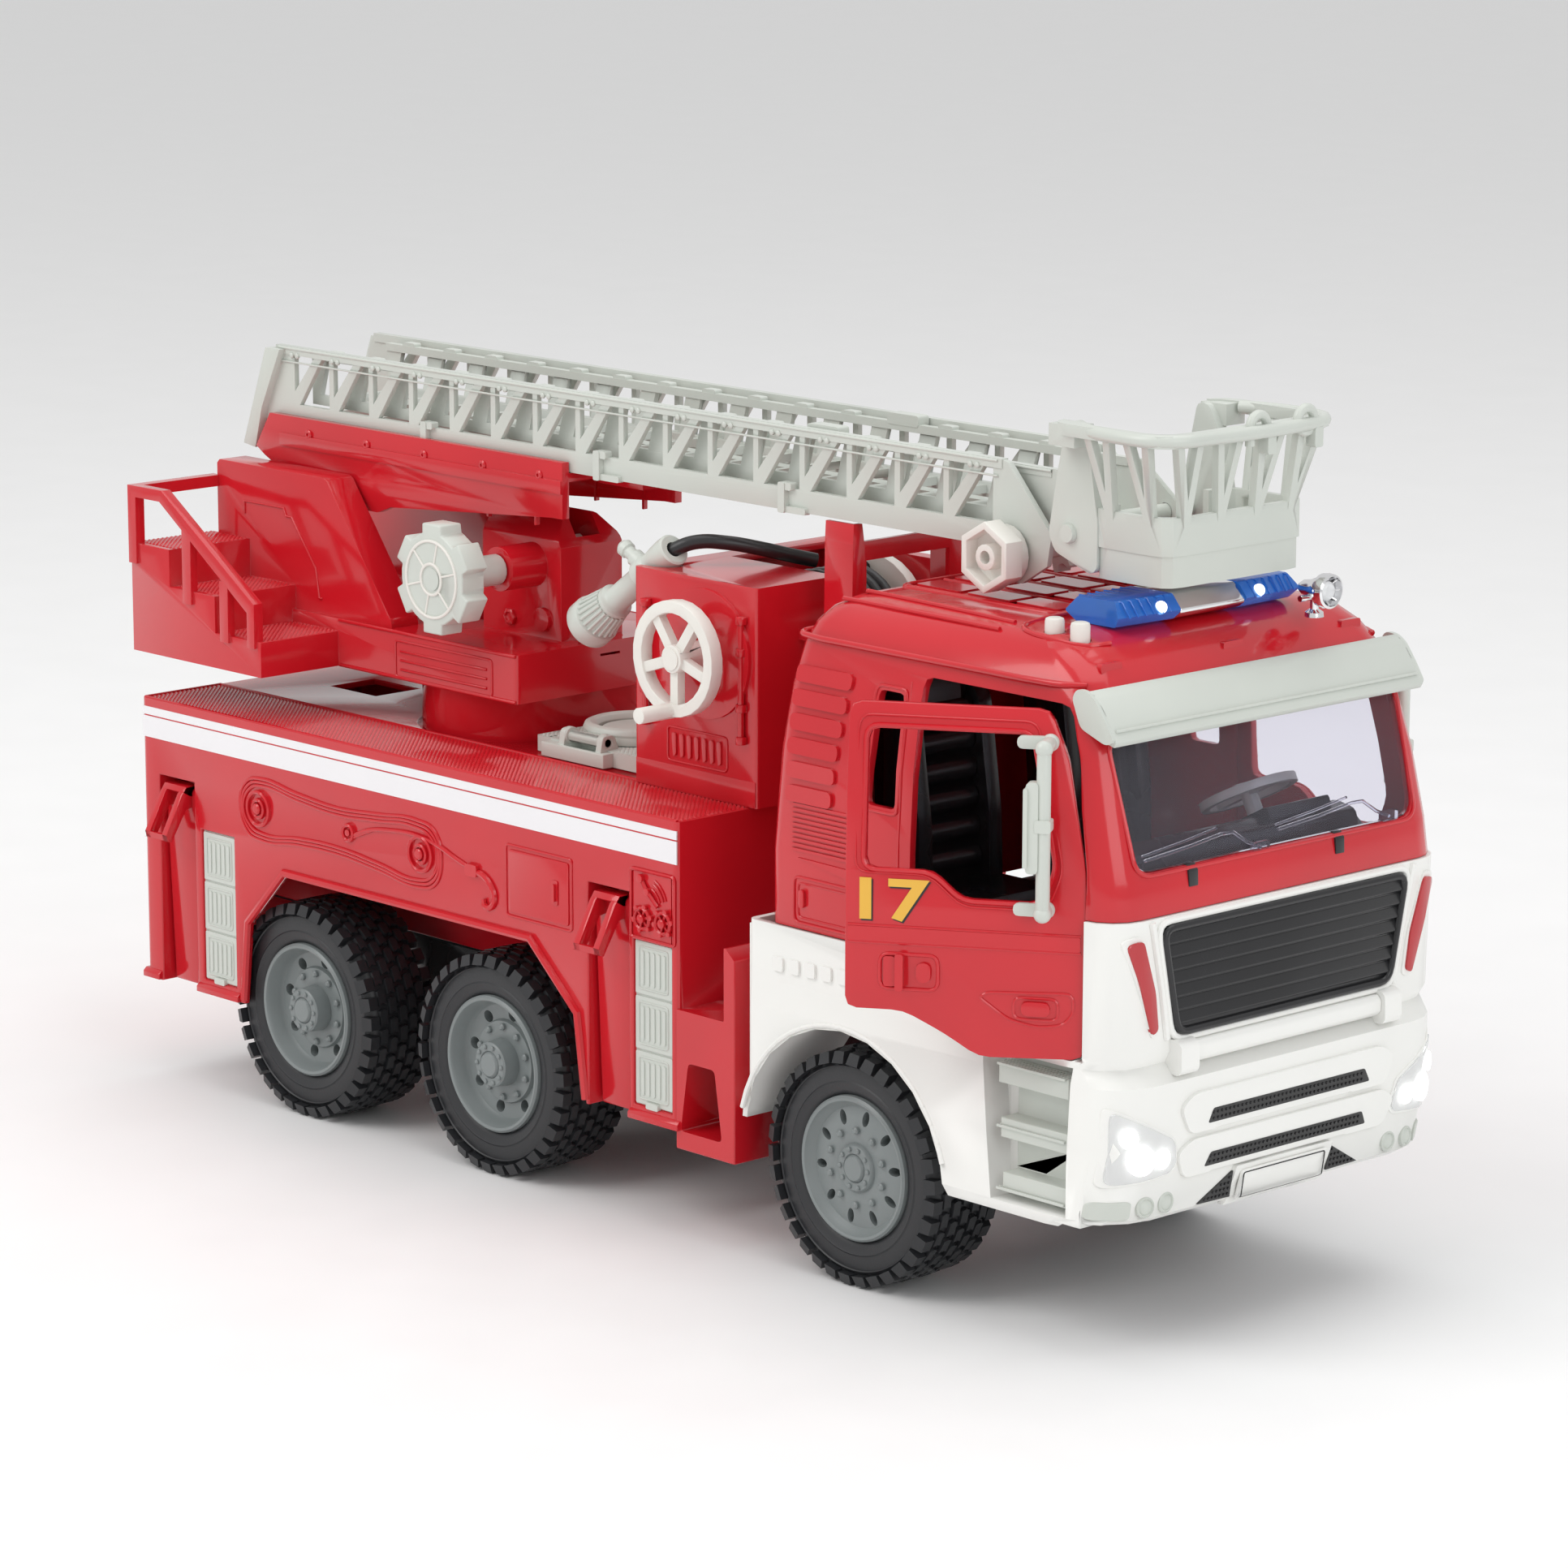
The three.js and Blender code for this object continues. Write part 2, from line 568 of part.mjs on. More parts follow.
const turret = cut(
  prismX(rounded([[-15.5, 190], [15.5, 190], [15.5, 230], [8, 238.6], [-8, 238.6], [-15.5, 230]], 1, 1), -130, -84),
  prismY([[-83, 189], [-83, 226], [-92, 240], [-83, 241], [-60, 241], [-60, 189]], -20, 20),
  box(-131, -86, -6, 6, 150, 250),
);
const ears = join(
  rod('y', knobX, knobZ, 8.6, -33, -14, 24),
  both(rod('y', -94, 199, 4.6, 14, 17.4, 16)),
);
const turntableSolid = cut(
  join(
    cut(
      prismZ(rounded(rectangle(stairRearX, trayFrontX, -trayHalf, trayHalf), 2), trayBottomZ, trayTopZ),
      box(stairRearX + wall, -165, -cheekInnerY + 1.5, cheekInnerY - 1.5, trayBottomZ + 3, trayTopZ + 1),
    ),
    both(prismY(stairOutline, cheekOuterY - 0.5, stairHalf)),
    both(cheek),
    both(handrail),
    turret,
    ears,
    turned('z', swingX, 0, [[0, deckZ - 1.2], [pedestalRadius, deckZ - 1.2], [pedestalRadius, trayBottomZ + 1],
      [0, trayBottomZ + 1]], 30),
    turned('z', swingX, 0, [[0, deckZ - 6], [spindleRadius, deckZ - 6], [spindleRadius, deckZ], [0, deckZ]], 24),
  ),
  both(prismY(stairHollow, cheekOuterY + 2, stairHalf - wall)),
  box(-166, -76, -7, 7, 158.5, trayTopZ + 2).intersect(rod('z', swingX, 0, pedestalRadius - 2.5, 150, 200, 32)),
  rod('z', swingX, 0, spindleRadius - 3, deckZ - 14, 156, 20),
  box(-84, trayFrontX + 1, -5, 5, 186, 187),
  rod('y', knobX, knobZ, 4.3, -40, 40, 18),
  both(rod('y', liftX, liftZ, liftPinRadius + gap, 28, cheekOuterY - 4, 18)),
);
add(turntable, 'turntable', onTurntable(turntableSolid), red());
const retainer = turned('z', 0, 0, [[spindleRadius - 8, deckZ - 9.6], [spindleRadius + 2.6, deckZ - 9.6],
  [spindleRadius + 2.6, deckZ - 6.4], [spindleRadius - 8, deckZ - 6.4]], 20);
add(turntable, 'turntable_retainer', retainer, black());

// ---- Lift knob with its pinion ----
const pinionRadius = pinionTeeth * toothPitch / (2 * Math.PI);
const liftToKnob = Math.hypot(knobX - liftX, knobZ - liftZ);
const knobAngle = Math.atan2(knobZ - liftZ, knobX - liftX);
const sectorRadius = liftToKnob - pinionRadius;
const knobPivot = group(knobX - swingX, 0, knobZ);
turntable.add(knobPivot);
const lobes = Array.from({ length: 6 }, (_, k) =>
  box(-5.4, 5.4, knobFaceY, knobFaceY + 10.5, 0, knobRadius + 0.6).rotate([0, k * 60, 0]));
const liftKnob = cut(
  join(
    turned('y', 0, 0, [[5, knobFaceY], [knobRadius - 2.4, knobFaceY], [knobRadius - 2.4, knobFaceY + 11],
      [5, knobFaceY + 11]], 30),
    lobes,
    turned('y', 0, 0, [[0, knobFaceY + 4], [6, knobFaceY + 4], [6, -33.4], [3.9, -33.4], [3.9, 22], [0, 22]], 18),
    prismY(gearOutline(0, 0, pinionTeeth, pinionRadius, knobAngle + Math.PI), -4, 4),
  ),
  rod('y', 0, 0, 3.2, knobFaceY - 1, knobFaceY + 3, 16),
);
add(knobPivot, 'lift_knob', liftKnob, pale());

// ---- Cradle, toothed sector and lift pin ----
const lift = group(liftX - swingX, 0, liftZ);
turntable.add(lift);
const onLift = (piece) => piece.translate([-liftX, 0, -liftZ]);
const cradleHalf = ladderHalf + 3.7;
const cradleTopZ = 264;
const cradle = join(
    both(prismY([[-247, 247], [-215, 232], [-176, 232], [-168, 235], [-72, 242.5], [-66, 242.5], [-66, cradleTopZ],
      [-243, cradleTopZ], [-252, 250]], ladderHalf + gap, cradleHalf)),
    box(-246, -66, -cradleHalf + 1, cradleHalf - 1, 256.4, ladderBottomZ - gap),
    box(-67, -42, -11, 11, 254.4, ladderBottomZ - gap),
    both(prismY([[-236, 252], [-66, 252], [-66, 257], [-236, 257]], cradleHalf - 1, cradleHalf + 0.9)),
    rod('y', liftX, liftZ, liftPinRadius, -cheekOuterY + 4.5, cheekOuterY - 4.5, 16),
);

const sectorTooth = toothPitch / sectorRadius;
const sectorFrom = knobAngle - Math.PI / 4 - 1.4 * sectorTooth;
const sectorPoints = [];
const firstTooth = Math.ceil((sectorFrom - knobAngle) / sectorTooth);
for (let i = firstTooth; i <= 1; i += 1) {
  const middle = knobAngle + (i + 0.5) * sectorTooth;
  for (const [side, lifted] of [[-0.3, -1.6], [-0.13, 1], [0.13, 1], [0.3, -1.6]]) {
    const angle = middle + side * sectorTooth;
    sectorPoints.push([liftX + (sectorRadius + lifted) * Math.cos(angle), liftZ + (sectorRadius + lifted) * Math.sin(angle)]);
  }
}
const innerSector = Array.from({ length: 12 }, (_, k) => {
  const angle = knobAngle + 1.8 * sectorTooth + (sectorFrom - knobAngle - 1.8 * sectorTooth) * k / 11;
  return [liftX + (sectorRadius - 6) * Math.cos(angle), liftZ + (sectorRadius - 6) * Math.sin(angle)];
});
const liftSector = join(
  prismY([...sectorPoints, ...innerSector], -3, 3),
  prismY([[-150, 257], [-150, 251], [-118, 246], [-118, 228], [-113, 226], [-109, 232], [-108, 257]], -3, 3),
);
add(lift, 'ladder_cradle', onLift(join(cradle, liftSector)), red());

// ---- Ladder: base section ----
const trussSide = (x0, x1, z0, z1, bays, footHeight, railHeight) => {
  const pitch = (x1 - x0) / bays;
  const holes = [];
  for (let i = 0; i < bays; i += 1) {
    const x = x0 + i * pitch;
    const low = z0 + footHeight;
    const high = z1 - railHeight;
    holes.push([[x + 2.2, low + 5], [x + 2.2, high], [x + pitch * 0.74 - 3.2, high]]);
    holes.push([[x + 5.2, low], [x + pitch * 0.98, low], [x + pitch * 0.98, high], [x + pitch * 0.8, high]]);
  }
  return holes;
};
const sideOutline = [
  [-252, ladderBottomZ + 2], [-249, ladderBottomZ], [142, ladderBottomZ], [150, 255], [156, 248.6], [172, 248.6],
  [184, 256], [186, 267], [165, ladderTopZ - 1], [161, ladderTopZ], [ladderRearX, ladderTopZ], [-247, 284],
];
const ladderSide = join(
  prismY(sideOutline, ladderHalf - 2.6, ladderHalf - 0.4,
    trussSide(ladderRearX + 9, ladderFrontX - 4, ladderBottomZ, ladderTopZ, bayCount, 8.2, 3)),
  box(ladderRearX, ladderFrontX, ladderHalf - 3.2, ladderHalf, ladderTopZ - 3.4, ladderTopZ),
  prismY([[-261, 250], [-253.5, 249], [-249, 265.5], [-237, ladderTopZ - 1.3], [-246, ladderTopZ - 1.3]], ladderHalf - 2.1,
    ladderHalf + 3),
);
const rungPitch = (ladderFrontX - ladderRearX) / bayCount;
const baseRungs = Array.from({ length: bayCount }, (_, k) => {
  const x = ladderRearX + 12 + k * rungPitch;
  return box(x - 1.5, x + 1.5, -ladderHalf + 2, ladderHalf - 2, ladderBottomZ + gap, ladderBottomZ + 3.6);
});
const ladderBase = cut(
  join(
    both(ladderSide),
    baseRungs,
    both(box(ladderRearX + 4, ladderFrontX - 14, flyHalf + 0.4, ladderHalf - 2, ladderBottomZ, ladderBottomZ + 2.4)),
  ),
  both(rod('y', extendX, extendZ, 4.3, flyHalf - 0.4, ladderHalf + 3.5, 18)),
);
add(lift, 'ladder_base', onLift(ladderBase), pale());

// ---- Ladder: sliding section with its rack ----
const fly = group();
lift.add(fly);
const extendRadius = extendTeeth * toothPitch / (2 * Math.PI);
const rackZ = extendZ + extendRadius;
const rackPoints = [[-200, flyBottomZ + 2], [-200, rackZ + 1.6]];
const rackTeeth = Math.floor((extendX + 12 + 198) / toothPitch);
for (let i = -rackTeeth + 2; i <= 2; i += 1) {
  const x = extendX + (i - 0.5) * toothPitch;
  rackPoints.push([x - 0.3 * toothPitch, rackZ + 1.6], [x - 0.13 * toothPitch, rackZ - 1]);
  rackPoints.push([x + 0.13 * toothPitch, rackZ - 1], [x + 0.3 * toothPitch, rackZ + 1.6]);
}
rackPoints.push([184, rackZ + 1.6], [184, flyBottomZ + 2]);
const flyHoles = Array.from({ length: bayCount - 1 }, (_, k) => {
  const x = flyRearX + 5 + k * rungPitch;
  return [[x, flyBottomZ + 4], [x + 17, flyBottomZ + 4], [x + 21, flyTopZ - 3], [x + 4, flyTopZ - 3]];
});
const flySide = join(
  prismY([[flyRearX, flyBottomZ], [flyFrontX, flyBottomZ - 2], [198, 266], [203, 268], [203, 276], [flyFrontX, flyTopZ],
    [flyRearX, flyTopZ]], flyHalf - 2.4, flyHalf - 0.3,
  flyHoles),
  box(flyRearX, flyFrontX - 6, flyHalf - 3, flyHalf, flyTopZ - 3, flyTopZ),
);
const flyRungs = Array.from({ length: bayCount }, (_, k) => {
  const x = flyRearX + 8 + k * rungPitch;
  return box(x - 1.4, x + 1.4, -flyHalf + 2, flyHalf - 2, flyBottomZ, flyBottomZ + 3);
});
const pinRadius = 3;
const ladderFly = cut(
  join(
    both(flySide),
    flyRungs,
    prismY(rackPoints, -3, 3),
    box(150, 184, -flyHalf + 1, flyHalf - 1, flyBottomZ, flyBottomZ + 2),
  ),
  rod('y', basketX - 8, basketZ, pinRadius + 0.25, -40, 40, 18),
);
add(fly, 'ladder_fly', onLift(ladderFly), pale());

// ---- Extension knob with its pinion ----
const extendPivot = group(extendX - liftX, 0, extendZ - liftZ);
lift.add(extendPivot);
const hexagon = Array.from({ length: 6 }, (_, k) => {
  const angle = Math.PI / 6 + Math.PI / 6 + k * Math.PI / 3 - Math.PI / 6;
  return [12.6 * Math.cos(angle), 12.6 * Math.sin(angle)];
});
const flangeY = -(ladderHalf + 0.9);
const extendKnob = join(
  cut(prismY(hexagon, flangeY - 11.6, flangeY - 3.6), prismY(hexagon.map(([a, b]) => [a * 0.78, b * 0.78]), flangeY - 12.6, flangeY - 5.6)),
  turned('y', 0, 0, [[0, flangeY - 6], [10.6, flangeY - 6], [10.6, flangeY], [3.9, flangeY], [3.9, ladderHalf - 1.9], [0, ladderHalf - 1.9]], 20),
  cut(rod('y', 0, 0, 4.6, flangeY - 11, flangeY - 5.1, 16), rod('y', 0, 0, 2.4, flangeY - 11.6, flangeY - 6.6, 12)),
  prismY(gearOutline(0, 0, extendTeeth, extendRadius, Math.PI / 2), -3.5, 3.5),
);
add(extendPivot, 'extend_knob', extendKnob, ivory());

// ---- Basket ----
const basket = group(basketX - 8 - liftX, 0, basketZ - liftZ);
fly.add(basket);
const onBasket = (piece) => piece.translate([-basketX + 8, 0, -basketZ]);
const tubPlan = (grow) => rounded(
  rectangle(basketRearX - grow, basketFrontX + grow, -basketHalf - grow, basketHalf + grow), 8, 3);
const railPlan = (grow) => rounded([[200, -rimHalf - grow], [rimFrontX + grow, -rimHalf - grow],
  [rimFrontX + grow, rimHalf + grow], [200, rimHalf + grow]], 10, 3);
const railRing = cut(
  prismZ(railPlan(0), railZ - 2.6, railZ + 1.6),
  prismZ(railPlan(-4.4), railZ - 4, railZ + 3),
  box(190, 204, -rimHalf + 8, rimHalf - 8, railZ - 5, railZ + 5),
);
const post = (x0, y0, x1, y1, width) => {
  const from = new THREE.Vector3(x0, y0, tubTopZ - 3);
  const to = new THREE.Vector3(x1, y1, railZ - 1);
  const geometry = new THREE.BoxGeometry(width, width, from.distanceTo(to));
  geometry.applyQuaternion(new THREE.Quaternion().setFromUnitVectors(
    new THREE.Vector3(0, 0, 1), to.clone().sub(from).normalize()));
  const middle = from.add(to).multiplyScalar(0.5);
  return solid(geometry.translate(middle.x, middle.y, middle.z));
};
const posts = [-26, -9, 9, 26].flatMap((y) => [
  post(basketFrontX - 1.5, y, rimFrontX - 2, y * 1.16 - 5, 3),
  post(basketFrontX - 1.5, y, rimFrontX - 2, y * 1.16 + 5, 3),
]);
const sidePosts = [222, 240].flatMap((x) => both(join(
  post(x, basketHalf - 1.5, x - 4, rimHalf - 2, 3),
  post(x, basketHalf - 1.5, x + 5, rimHalf - 2, 3),
)));
const sideCheek = prismY(rounded([[193, 270], [196, 264], [213, 258], [216, 260], [216, 276], [212, 299], [206, railZ + 1],
  [201, railZ + 1], [197, 292]], 2, 2), 30.2, basketHalf - 0.2);
const basketSolid = cut(
  join(
    cut(
      join(prismZ(tubPlan(-0.6), basketFloorZ, tubTopZ - 12), prismZ(tubPlan(0), tubTopZ - 13, tubTopZ)),
      prismZ(tubPlan(-2.6), basketFloorZ + 2, tubTopZ + 1),
      box(190, 226, -22, 22, basketFloorZ + 2, tubTopZ + 1),
    ),
    railRing,
    posts,
    sidePosts,
    both(sideCheek),
    both(box(200, 212, 33, rimHalf - 1, 302, railZ + 1)),
  ),
  box(180, 205.5, -24, 24, 250, 285),
);
const basketPivotSolid = rod('y', basketX - 8, basketZ, pinRadius, -30.8, 30.8, 16);
add(basket, 'basket', onBasket(join(basketSolid, basketPivotSolid)), pale());

// ---- Cab shell and doors ----
const cabLevels = [
  { z: 100, rear: cabRearX, front: cabFrontX, half: 83.8, rearCorner: 6, frontCorner: 14 },
  { z: 153, rear: cabRearX, front: cabFrontX, half: 83.8, rearCorner: 6, frontCorner: 14 },
  { z: 166, rear: cabRearX + 0.5, front: 270.5, half: 83.6, rearCorner: 7, frontCorner: 14 },
  { z: 190, rear: cabRearX + 1.5, front: 264.6, half: 82.4, rearCorner: 8, frontCorner: 13 },
  { z: 212, rear: cabRearX + 3, front: 258.4, half: 79.4, rearCorner: 9, frontCorner: 12 },
  { z: 227, rear: cabRearX + 5, front: 252.4, half: 76, rearCorner: 10, frontCorner: 12 },
  { z: 234, rear: cabRearX + 7.5, front: 247, half: 73.2, rearCorner: 11, frontCorner: 13 },
  { z: 239, rear: cabRearX + 11, front: 241, half: 69, rearCorner: 12, frontCorner: 14 },
  { z: 242, rear: cabRearX + 16, front: 232, half: 62, rearCorner: 12, frontCorner: 14 },
  { z: 243, rear: cabRearX + 22, front: 224, half: 54, rearCorner: 12, frontCorner: 14 },
];
const doorOutline = rounded([
  [doorRearX, doorHighZ], [doorRearX + 20, doorHighZ], [doorRearX + 34, doorHighZ - 7], [doorRearX + 46, doorLowZ],
  [doorFrontX, doorLowZ + 1], [doorFrontX, 168], [doorFrontX - 7, 206], [doorFrontX - 14, doorTopZ],
  [doorRearX, doorTopZ],
], 4, 2);
const doorWindow = rounded([
  [doorRearX + 7, 167], [doorRearX + 30, 167], [doorRearX + 40, 158], [doorFrontX - 16, 158], [doorFrontX - 11, 170],
  [doorFrontX - 20, 214], [doorRearX + 7, 214],
], 3.5, 2);
const grown = (points, amount) => {
  const cx = points.reduce((sum, p) => sum + p[0], 0) / points.length;
  const cz = points.reduce((sum, p) => sum + p[1], 0) / points.length;
  const wide = Math.max(...points.map((p) => p[0])) - Math.min(...points.map((p) => p[0]));
  const tall = Math.max(...points.map((p) => p[1])) - Math.min(...points.map((p) => p[1]));
  return points.map(([x, z]) => [cx + (x - cx) * (1 + 2 * amount / wide), cz + (z - cz) * (1 + 2 * amount / tall)]);
};
const cabOuter = lofted(cabLevels);
const cabInner = lofted(cabLevels.map((level) => ({ ...level, z: level.z - (level.z > 100 ? wall : 1) })), wall);
const rearBulkhead = box(cabRearX + 10, cabRearX + 14, -78, 78, cabFloorZ + 3, 214);
const windscreenOutline = (grow) => rounded([
  [-69.5 - grow, 168 - grow], [69.5 + grow, 168 - grow], [71.5 + grow, 213 + grow], [-71.5 - grow, 213 + grow],
], 7, 4);
const cabShell = cut(
  cut(cabOuter, cabInner),
  box(doorFrontX - 1, 300, -100, 100, 90, cabSplitZ),
  box(90, doorRearX - 0.5, -100, 100, 90, sideSplitZ),
  box(90, 300, -70, 70, 90, sideSplitZ),
  both(prismY(grown(doorOutline, 0.6), 60, 100)),
  both(prismY([[doorRearX - 0.6, 90], [doorFrontX + 3, 90], [doorFrontX + 3, doorLowZ + 4], [doorRearX + 42, doorLowZ + 4],
    [doorRearX + 30, doorHighZ + 1], [doorRearX + 1, doorHighZ + 4], [doorRearX - 0.6, doorHighZ + 4]], 60, 100)),
  both(prismY(rounded([[154, 176], [168, 176], [168, 216], [156, 216]], 2, 2), 60, 100)),
  prismX(windscreenOutline(0), 240, 300),
  [-1, 1].map((s) => box(170, 200, s * 20 - 14, s * 20 + 14, 241.6, 250)),
  buttonXs.map((x) => rod('z', x, buttonY, buttonRadius + gap, 225, 250, 20)),
);
add(truck, 'cab_shell', cabShell, red());

const doorShell = cut(cabOuter, lofted(cabLevels, wall + 0.4));
const doorRight = cut(
  doorShell.intersect(prismY(doorOutline, -100, -60)),
  prismY(doorWindow, -100, -60),
).translate([-doorHingeX, doorHingeY, 0]);
const doors = {};
for (const [side, sign] of [['right', -1], ['left', 1]]) {
  const hinge = group(doorHingeX, sign * doorHingeY, 0);
  hinge.rotation.z = side === 'right' ? THREE.MathUtils.degToRad(doorAjar) : 0;
  truck.add(hinge);
  add(hinge, `door_${side}`, sign < 0 ? doorRight : mirrored(doorRight), red());
  doors[side] = hinge;
  const armX = -12;
  const armY = -8;
  const mirrorArm = join(
    rod('y', armX, 212, 2.2, armY, 1.4, 12),
    rod('y', armX, 156, 2.2, armY, -2, 12),
    rod('z', armX, armY, 2.4, 156, 212, 12),
    box(armX - 5.4, armX - 1, armY - 2, armY + 1.4, 170, 200),
  );
  const trimmed = cut(mirrorArm, lofted(cabLevels.map((level) => ({ ...level })), -gap)
    .translate([-doorHingeX, doorHingeY, 0]));
  add(hinge, `mirror_${side}`, sign < 0 ? trimmed : mirrored(trimmed), pale());
}

const screenSkin = cut(
  lofted(cabLevels, 0.7),
  lofted(cabLevels, 2.2),
);
const windscreen = screenSkin.intersect(prismX(windscreenOutline(-gap), 240, 300));
add(truck, 'windscreen', windscreen, clear());

const visorOutline = [
  [253.6, 229.2], [257.6, 226.6], [262.4, 220], [266.6, 213.4], [265.4, 211.6], [262.2, 212.4], [260.2, 216.6],
  [255.6, 225], [252.9, 227.8],
];
add(truck, 'sun_visor', prismY(visorOutline, -77, 77), pale());

const lightFloorZ = 243.3;
const lampShape = rounded([[lightRearX + 4, lightFloorZ], [lightFrontX - 4, lightFloorZ], [lightFrontX, 246.2],
  [lightFrontX - 5, 252.2], [lightRearX + 5, 252.2], [lightRearX, 247]], 1, 1);
const lightBlock = prismY(lampShape, 16.4, lightHalf);
add(truck, 'light_bar_base', join(
  prismY(lampShape, -16, 16),
), chrome());
add(truck, 'light_left', lightBlock, blue());
add(truck, 'light_right', mirrored(lightBlock), blue());

const spot = join(
  rod('z', 250, 38, 1.6, 240.2, 247, 12),
  turned('x', 38, 249.2, [[0, 244], [3.4, 246], [5.6, 254], [6, 258], [0, 258]], 20),
);
const spotSeat = lofted(cabLevels, -gap);
add(truck, 'spotlight', cut(spot, spotSeat), chrome());

for (const [i, x] of buttonXs.entries()) {
  const button = group(x, buttonY, 0);
  truck.add(button);
  add(button, `sound_button_${i + 1}`, turned('z', 0, 0, [[0, 234], [buttonRadius, 234], [buttonRadius, 246.4],
    [buttonRadius - 1, 247.2], [0, 247.2]], 20), pale());
}

// ---- Cab base: white fenders, sills, front panel and bumper ----
const baseLevels = [
  { z: cabBaseZ, rear: 96, front: 266, half: 82.6, rearCorner: 3, frontCorner: 24 },
  { z: 49, rear: 96, front: 272, half: 85, rearCorner: 3, frontCorner: 22 },
  { z: 74, rear: 96, front: 276, half: 85.6, rearCorner: 3, frontCorner: 20 },
  { z: 96, rear: 96, front: 276, half: 85.6, rearCorner: 3, frontCorner: 20 },
  { z: 102, rear: 96, front: 271, half: 85.2, rearCorner: 3, frontCorner: 18 },
  { z: 106, rear: 96, front: 272.8, half: 85.2, rearCorner: 3, frontCorner: 16 },
  { z: 153, rear: 96, front: 273.4, half: 84.6, rearCorner: 3, frontCorner: 14 },
];
const frontWheelX = axleXs.front;
const doorSill = grown(doorOutline, 0.6);
const archLiner = cut(
  rod('y', frontWheelX, axleZ, archRadius + 2.4, 46, 84, 24),
  rod('y', frontWheelX, axleZ, archRadius, 40, 90, 24),
  box(80, 210, 40, 90, -20, cabBaseZ + 8),
);
const stepCut = prismY([[218, 49], [253, 49], [256, 102], [214, 102]], 74, 100);
const cabBase = cut(
  join(
    cut(
      lofted(baseLevels),
      lofted(baseLevels, wall).translate([0, 0, 3]),
      lofted(baseLevels, wall).translate([0, 0, -3]),
    ),
    both(archLiner),
    both(box(212, 259, 71.5, 83.5, 46.5, 105)),
    both(box(96, 98.6, 60, 84, 52, 124)),
    box(267.6, 271.6, -64, 64, 109, 151),
  ),
  box(90, doorFrontX + 0.9, -100, 100, sideSplitZ - gap, 200),
  box(104.4, 258, -79, 79, 118, 200),
  both(rod('y', frontWheelX, axleZ, archRadius, 40, 100, 24)),
  both(prismY([[frontWheelX - archRadius, 0], [frontWheelX + archRadius, 0], [frontWheelX + archRadius - 1, axleZ],
    [frontWheelX - archRadius + 1, axleZ]], 40, 100)),
  both(prismY(doorSill, 60, 100)),
  both(stepCut),
  box(90, 99.5, -59, 59, 30, 130),
  prismX([[-61.8, 149.6], [61.8, 149.6], [54, 111.8], [-54, 111.8]], 271, 280),
  box(doorRearX - 1, doorFrontX + 0.9, -100, 100, 119, 200),
  box(doorFrontX - 2, doorFrontX + 0.9, -100, 100, doorLowZ + 0.4, 200),
);
add(truck, 'cab_base', cabBase, white());
add(truck, 'front_grille', prismX(rounded([[-61.2, 149], [61.2, 149], [53.5, 112.4], [-53.5, 112.4]], 3), 271.3, 274.2), black());
for (const [side, sign] of [['left', 1], ['right', -1]]) {
  const steps = join(
    box(222, 252, 74.3, 76, 49.6, 101.4),
    [90, 71, 52].map((z, i) => box(220 + i * 1.2, 253, 74.6, 83.6, z, z + 7)),
  );
  add(truck, `entry_steps_${side}`, sign > 0 ? steps : mirrored(steps), pale());
}

// ---- Cab interior ----
const seat = (y) => join(
  box(140, 182, y - 19, y + 19, cabFloorZ + 4, 142),
  prismY(rounded([[132, 136], [152, 136], [142, 214], [134, 216], [126, 210]], 5, 3), y - 17, y + 17),
);
const cabInterior = join(
  box(108.6, 256, -77, 77, cabFloorZ + 8, cabFloorZ + 11),
  seat(38),
  seat(-38),
  prismY(rounded([[228, cabFloorZ + 9], [255, cabFloorZ + 9], [255, 158], [243, 168], [230, 160]], 4, 3), -66, 66),
);
add(truck, 'cab_interior', cabInterior, black());
const wheelTilt = 62;
const steering = join(
  turned('z', 0, 0, [[15, -1.6], [18, -1.6], [18, 1.6], [15, 1.6]], 18),
  box(-16, 16, -2, 2, -1.2, 1.2),
  rod('z', 0, 0, 3, -13, 1.4, 14),
).rotate([0, -(90 - wheelTilt), 0]).translate([221, 38, 173]);
add(truck, 'steering_wheel', steering, pale());

// ---- Battery box under the chassis ----
const batteryX = -6;
add(truck, 'battery_box', cut(
  box(batteryX, batteryX + 66, -16, 16, 40, railBottomZ + 3.6),
  box(batteryX + 2, batteryX + 64, -14, 14, 38, railBottomZ),
), black());

// ---- Stand the model on its own box: bottom centre at the origin ----
const bounds = new THREE.Box3().setFromObject(truck, true);
const centre = bounds.getCenter(new THREE.Vector3());
truck.position.set(-centre.x, -centre.y, -bounds.min.z);
const toy = new THREE.Group();
toy.add(truck);

export default toy;
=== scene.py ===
import math

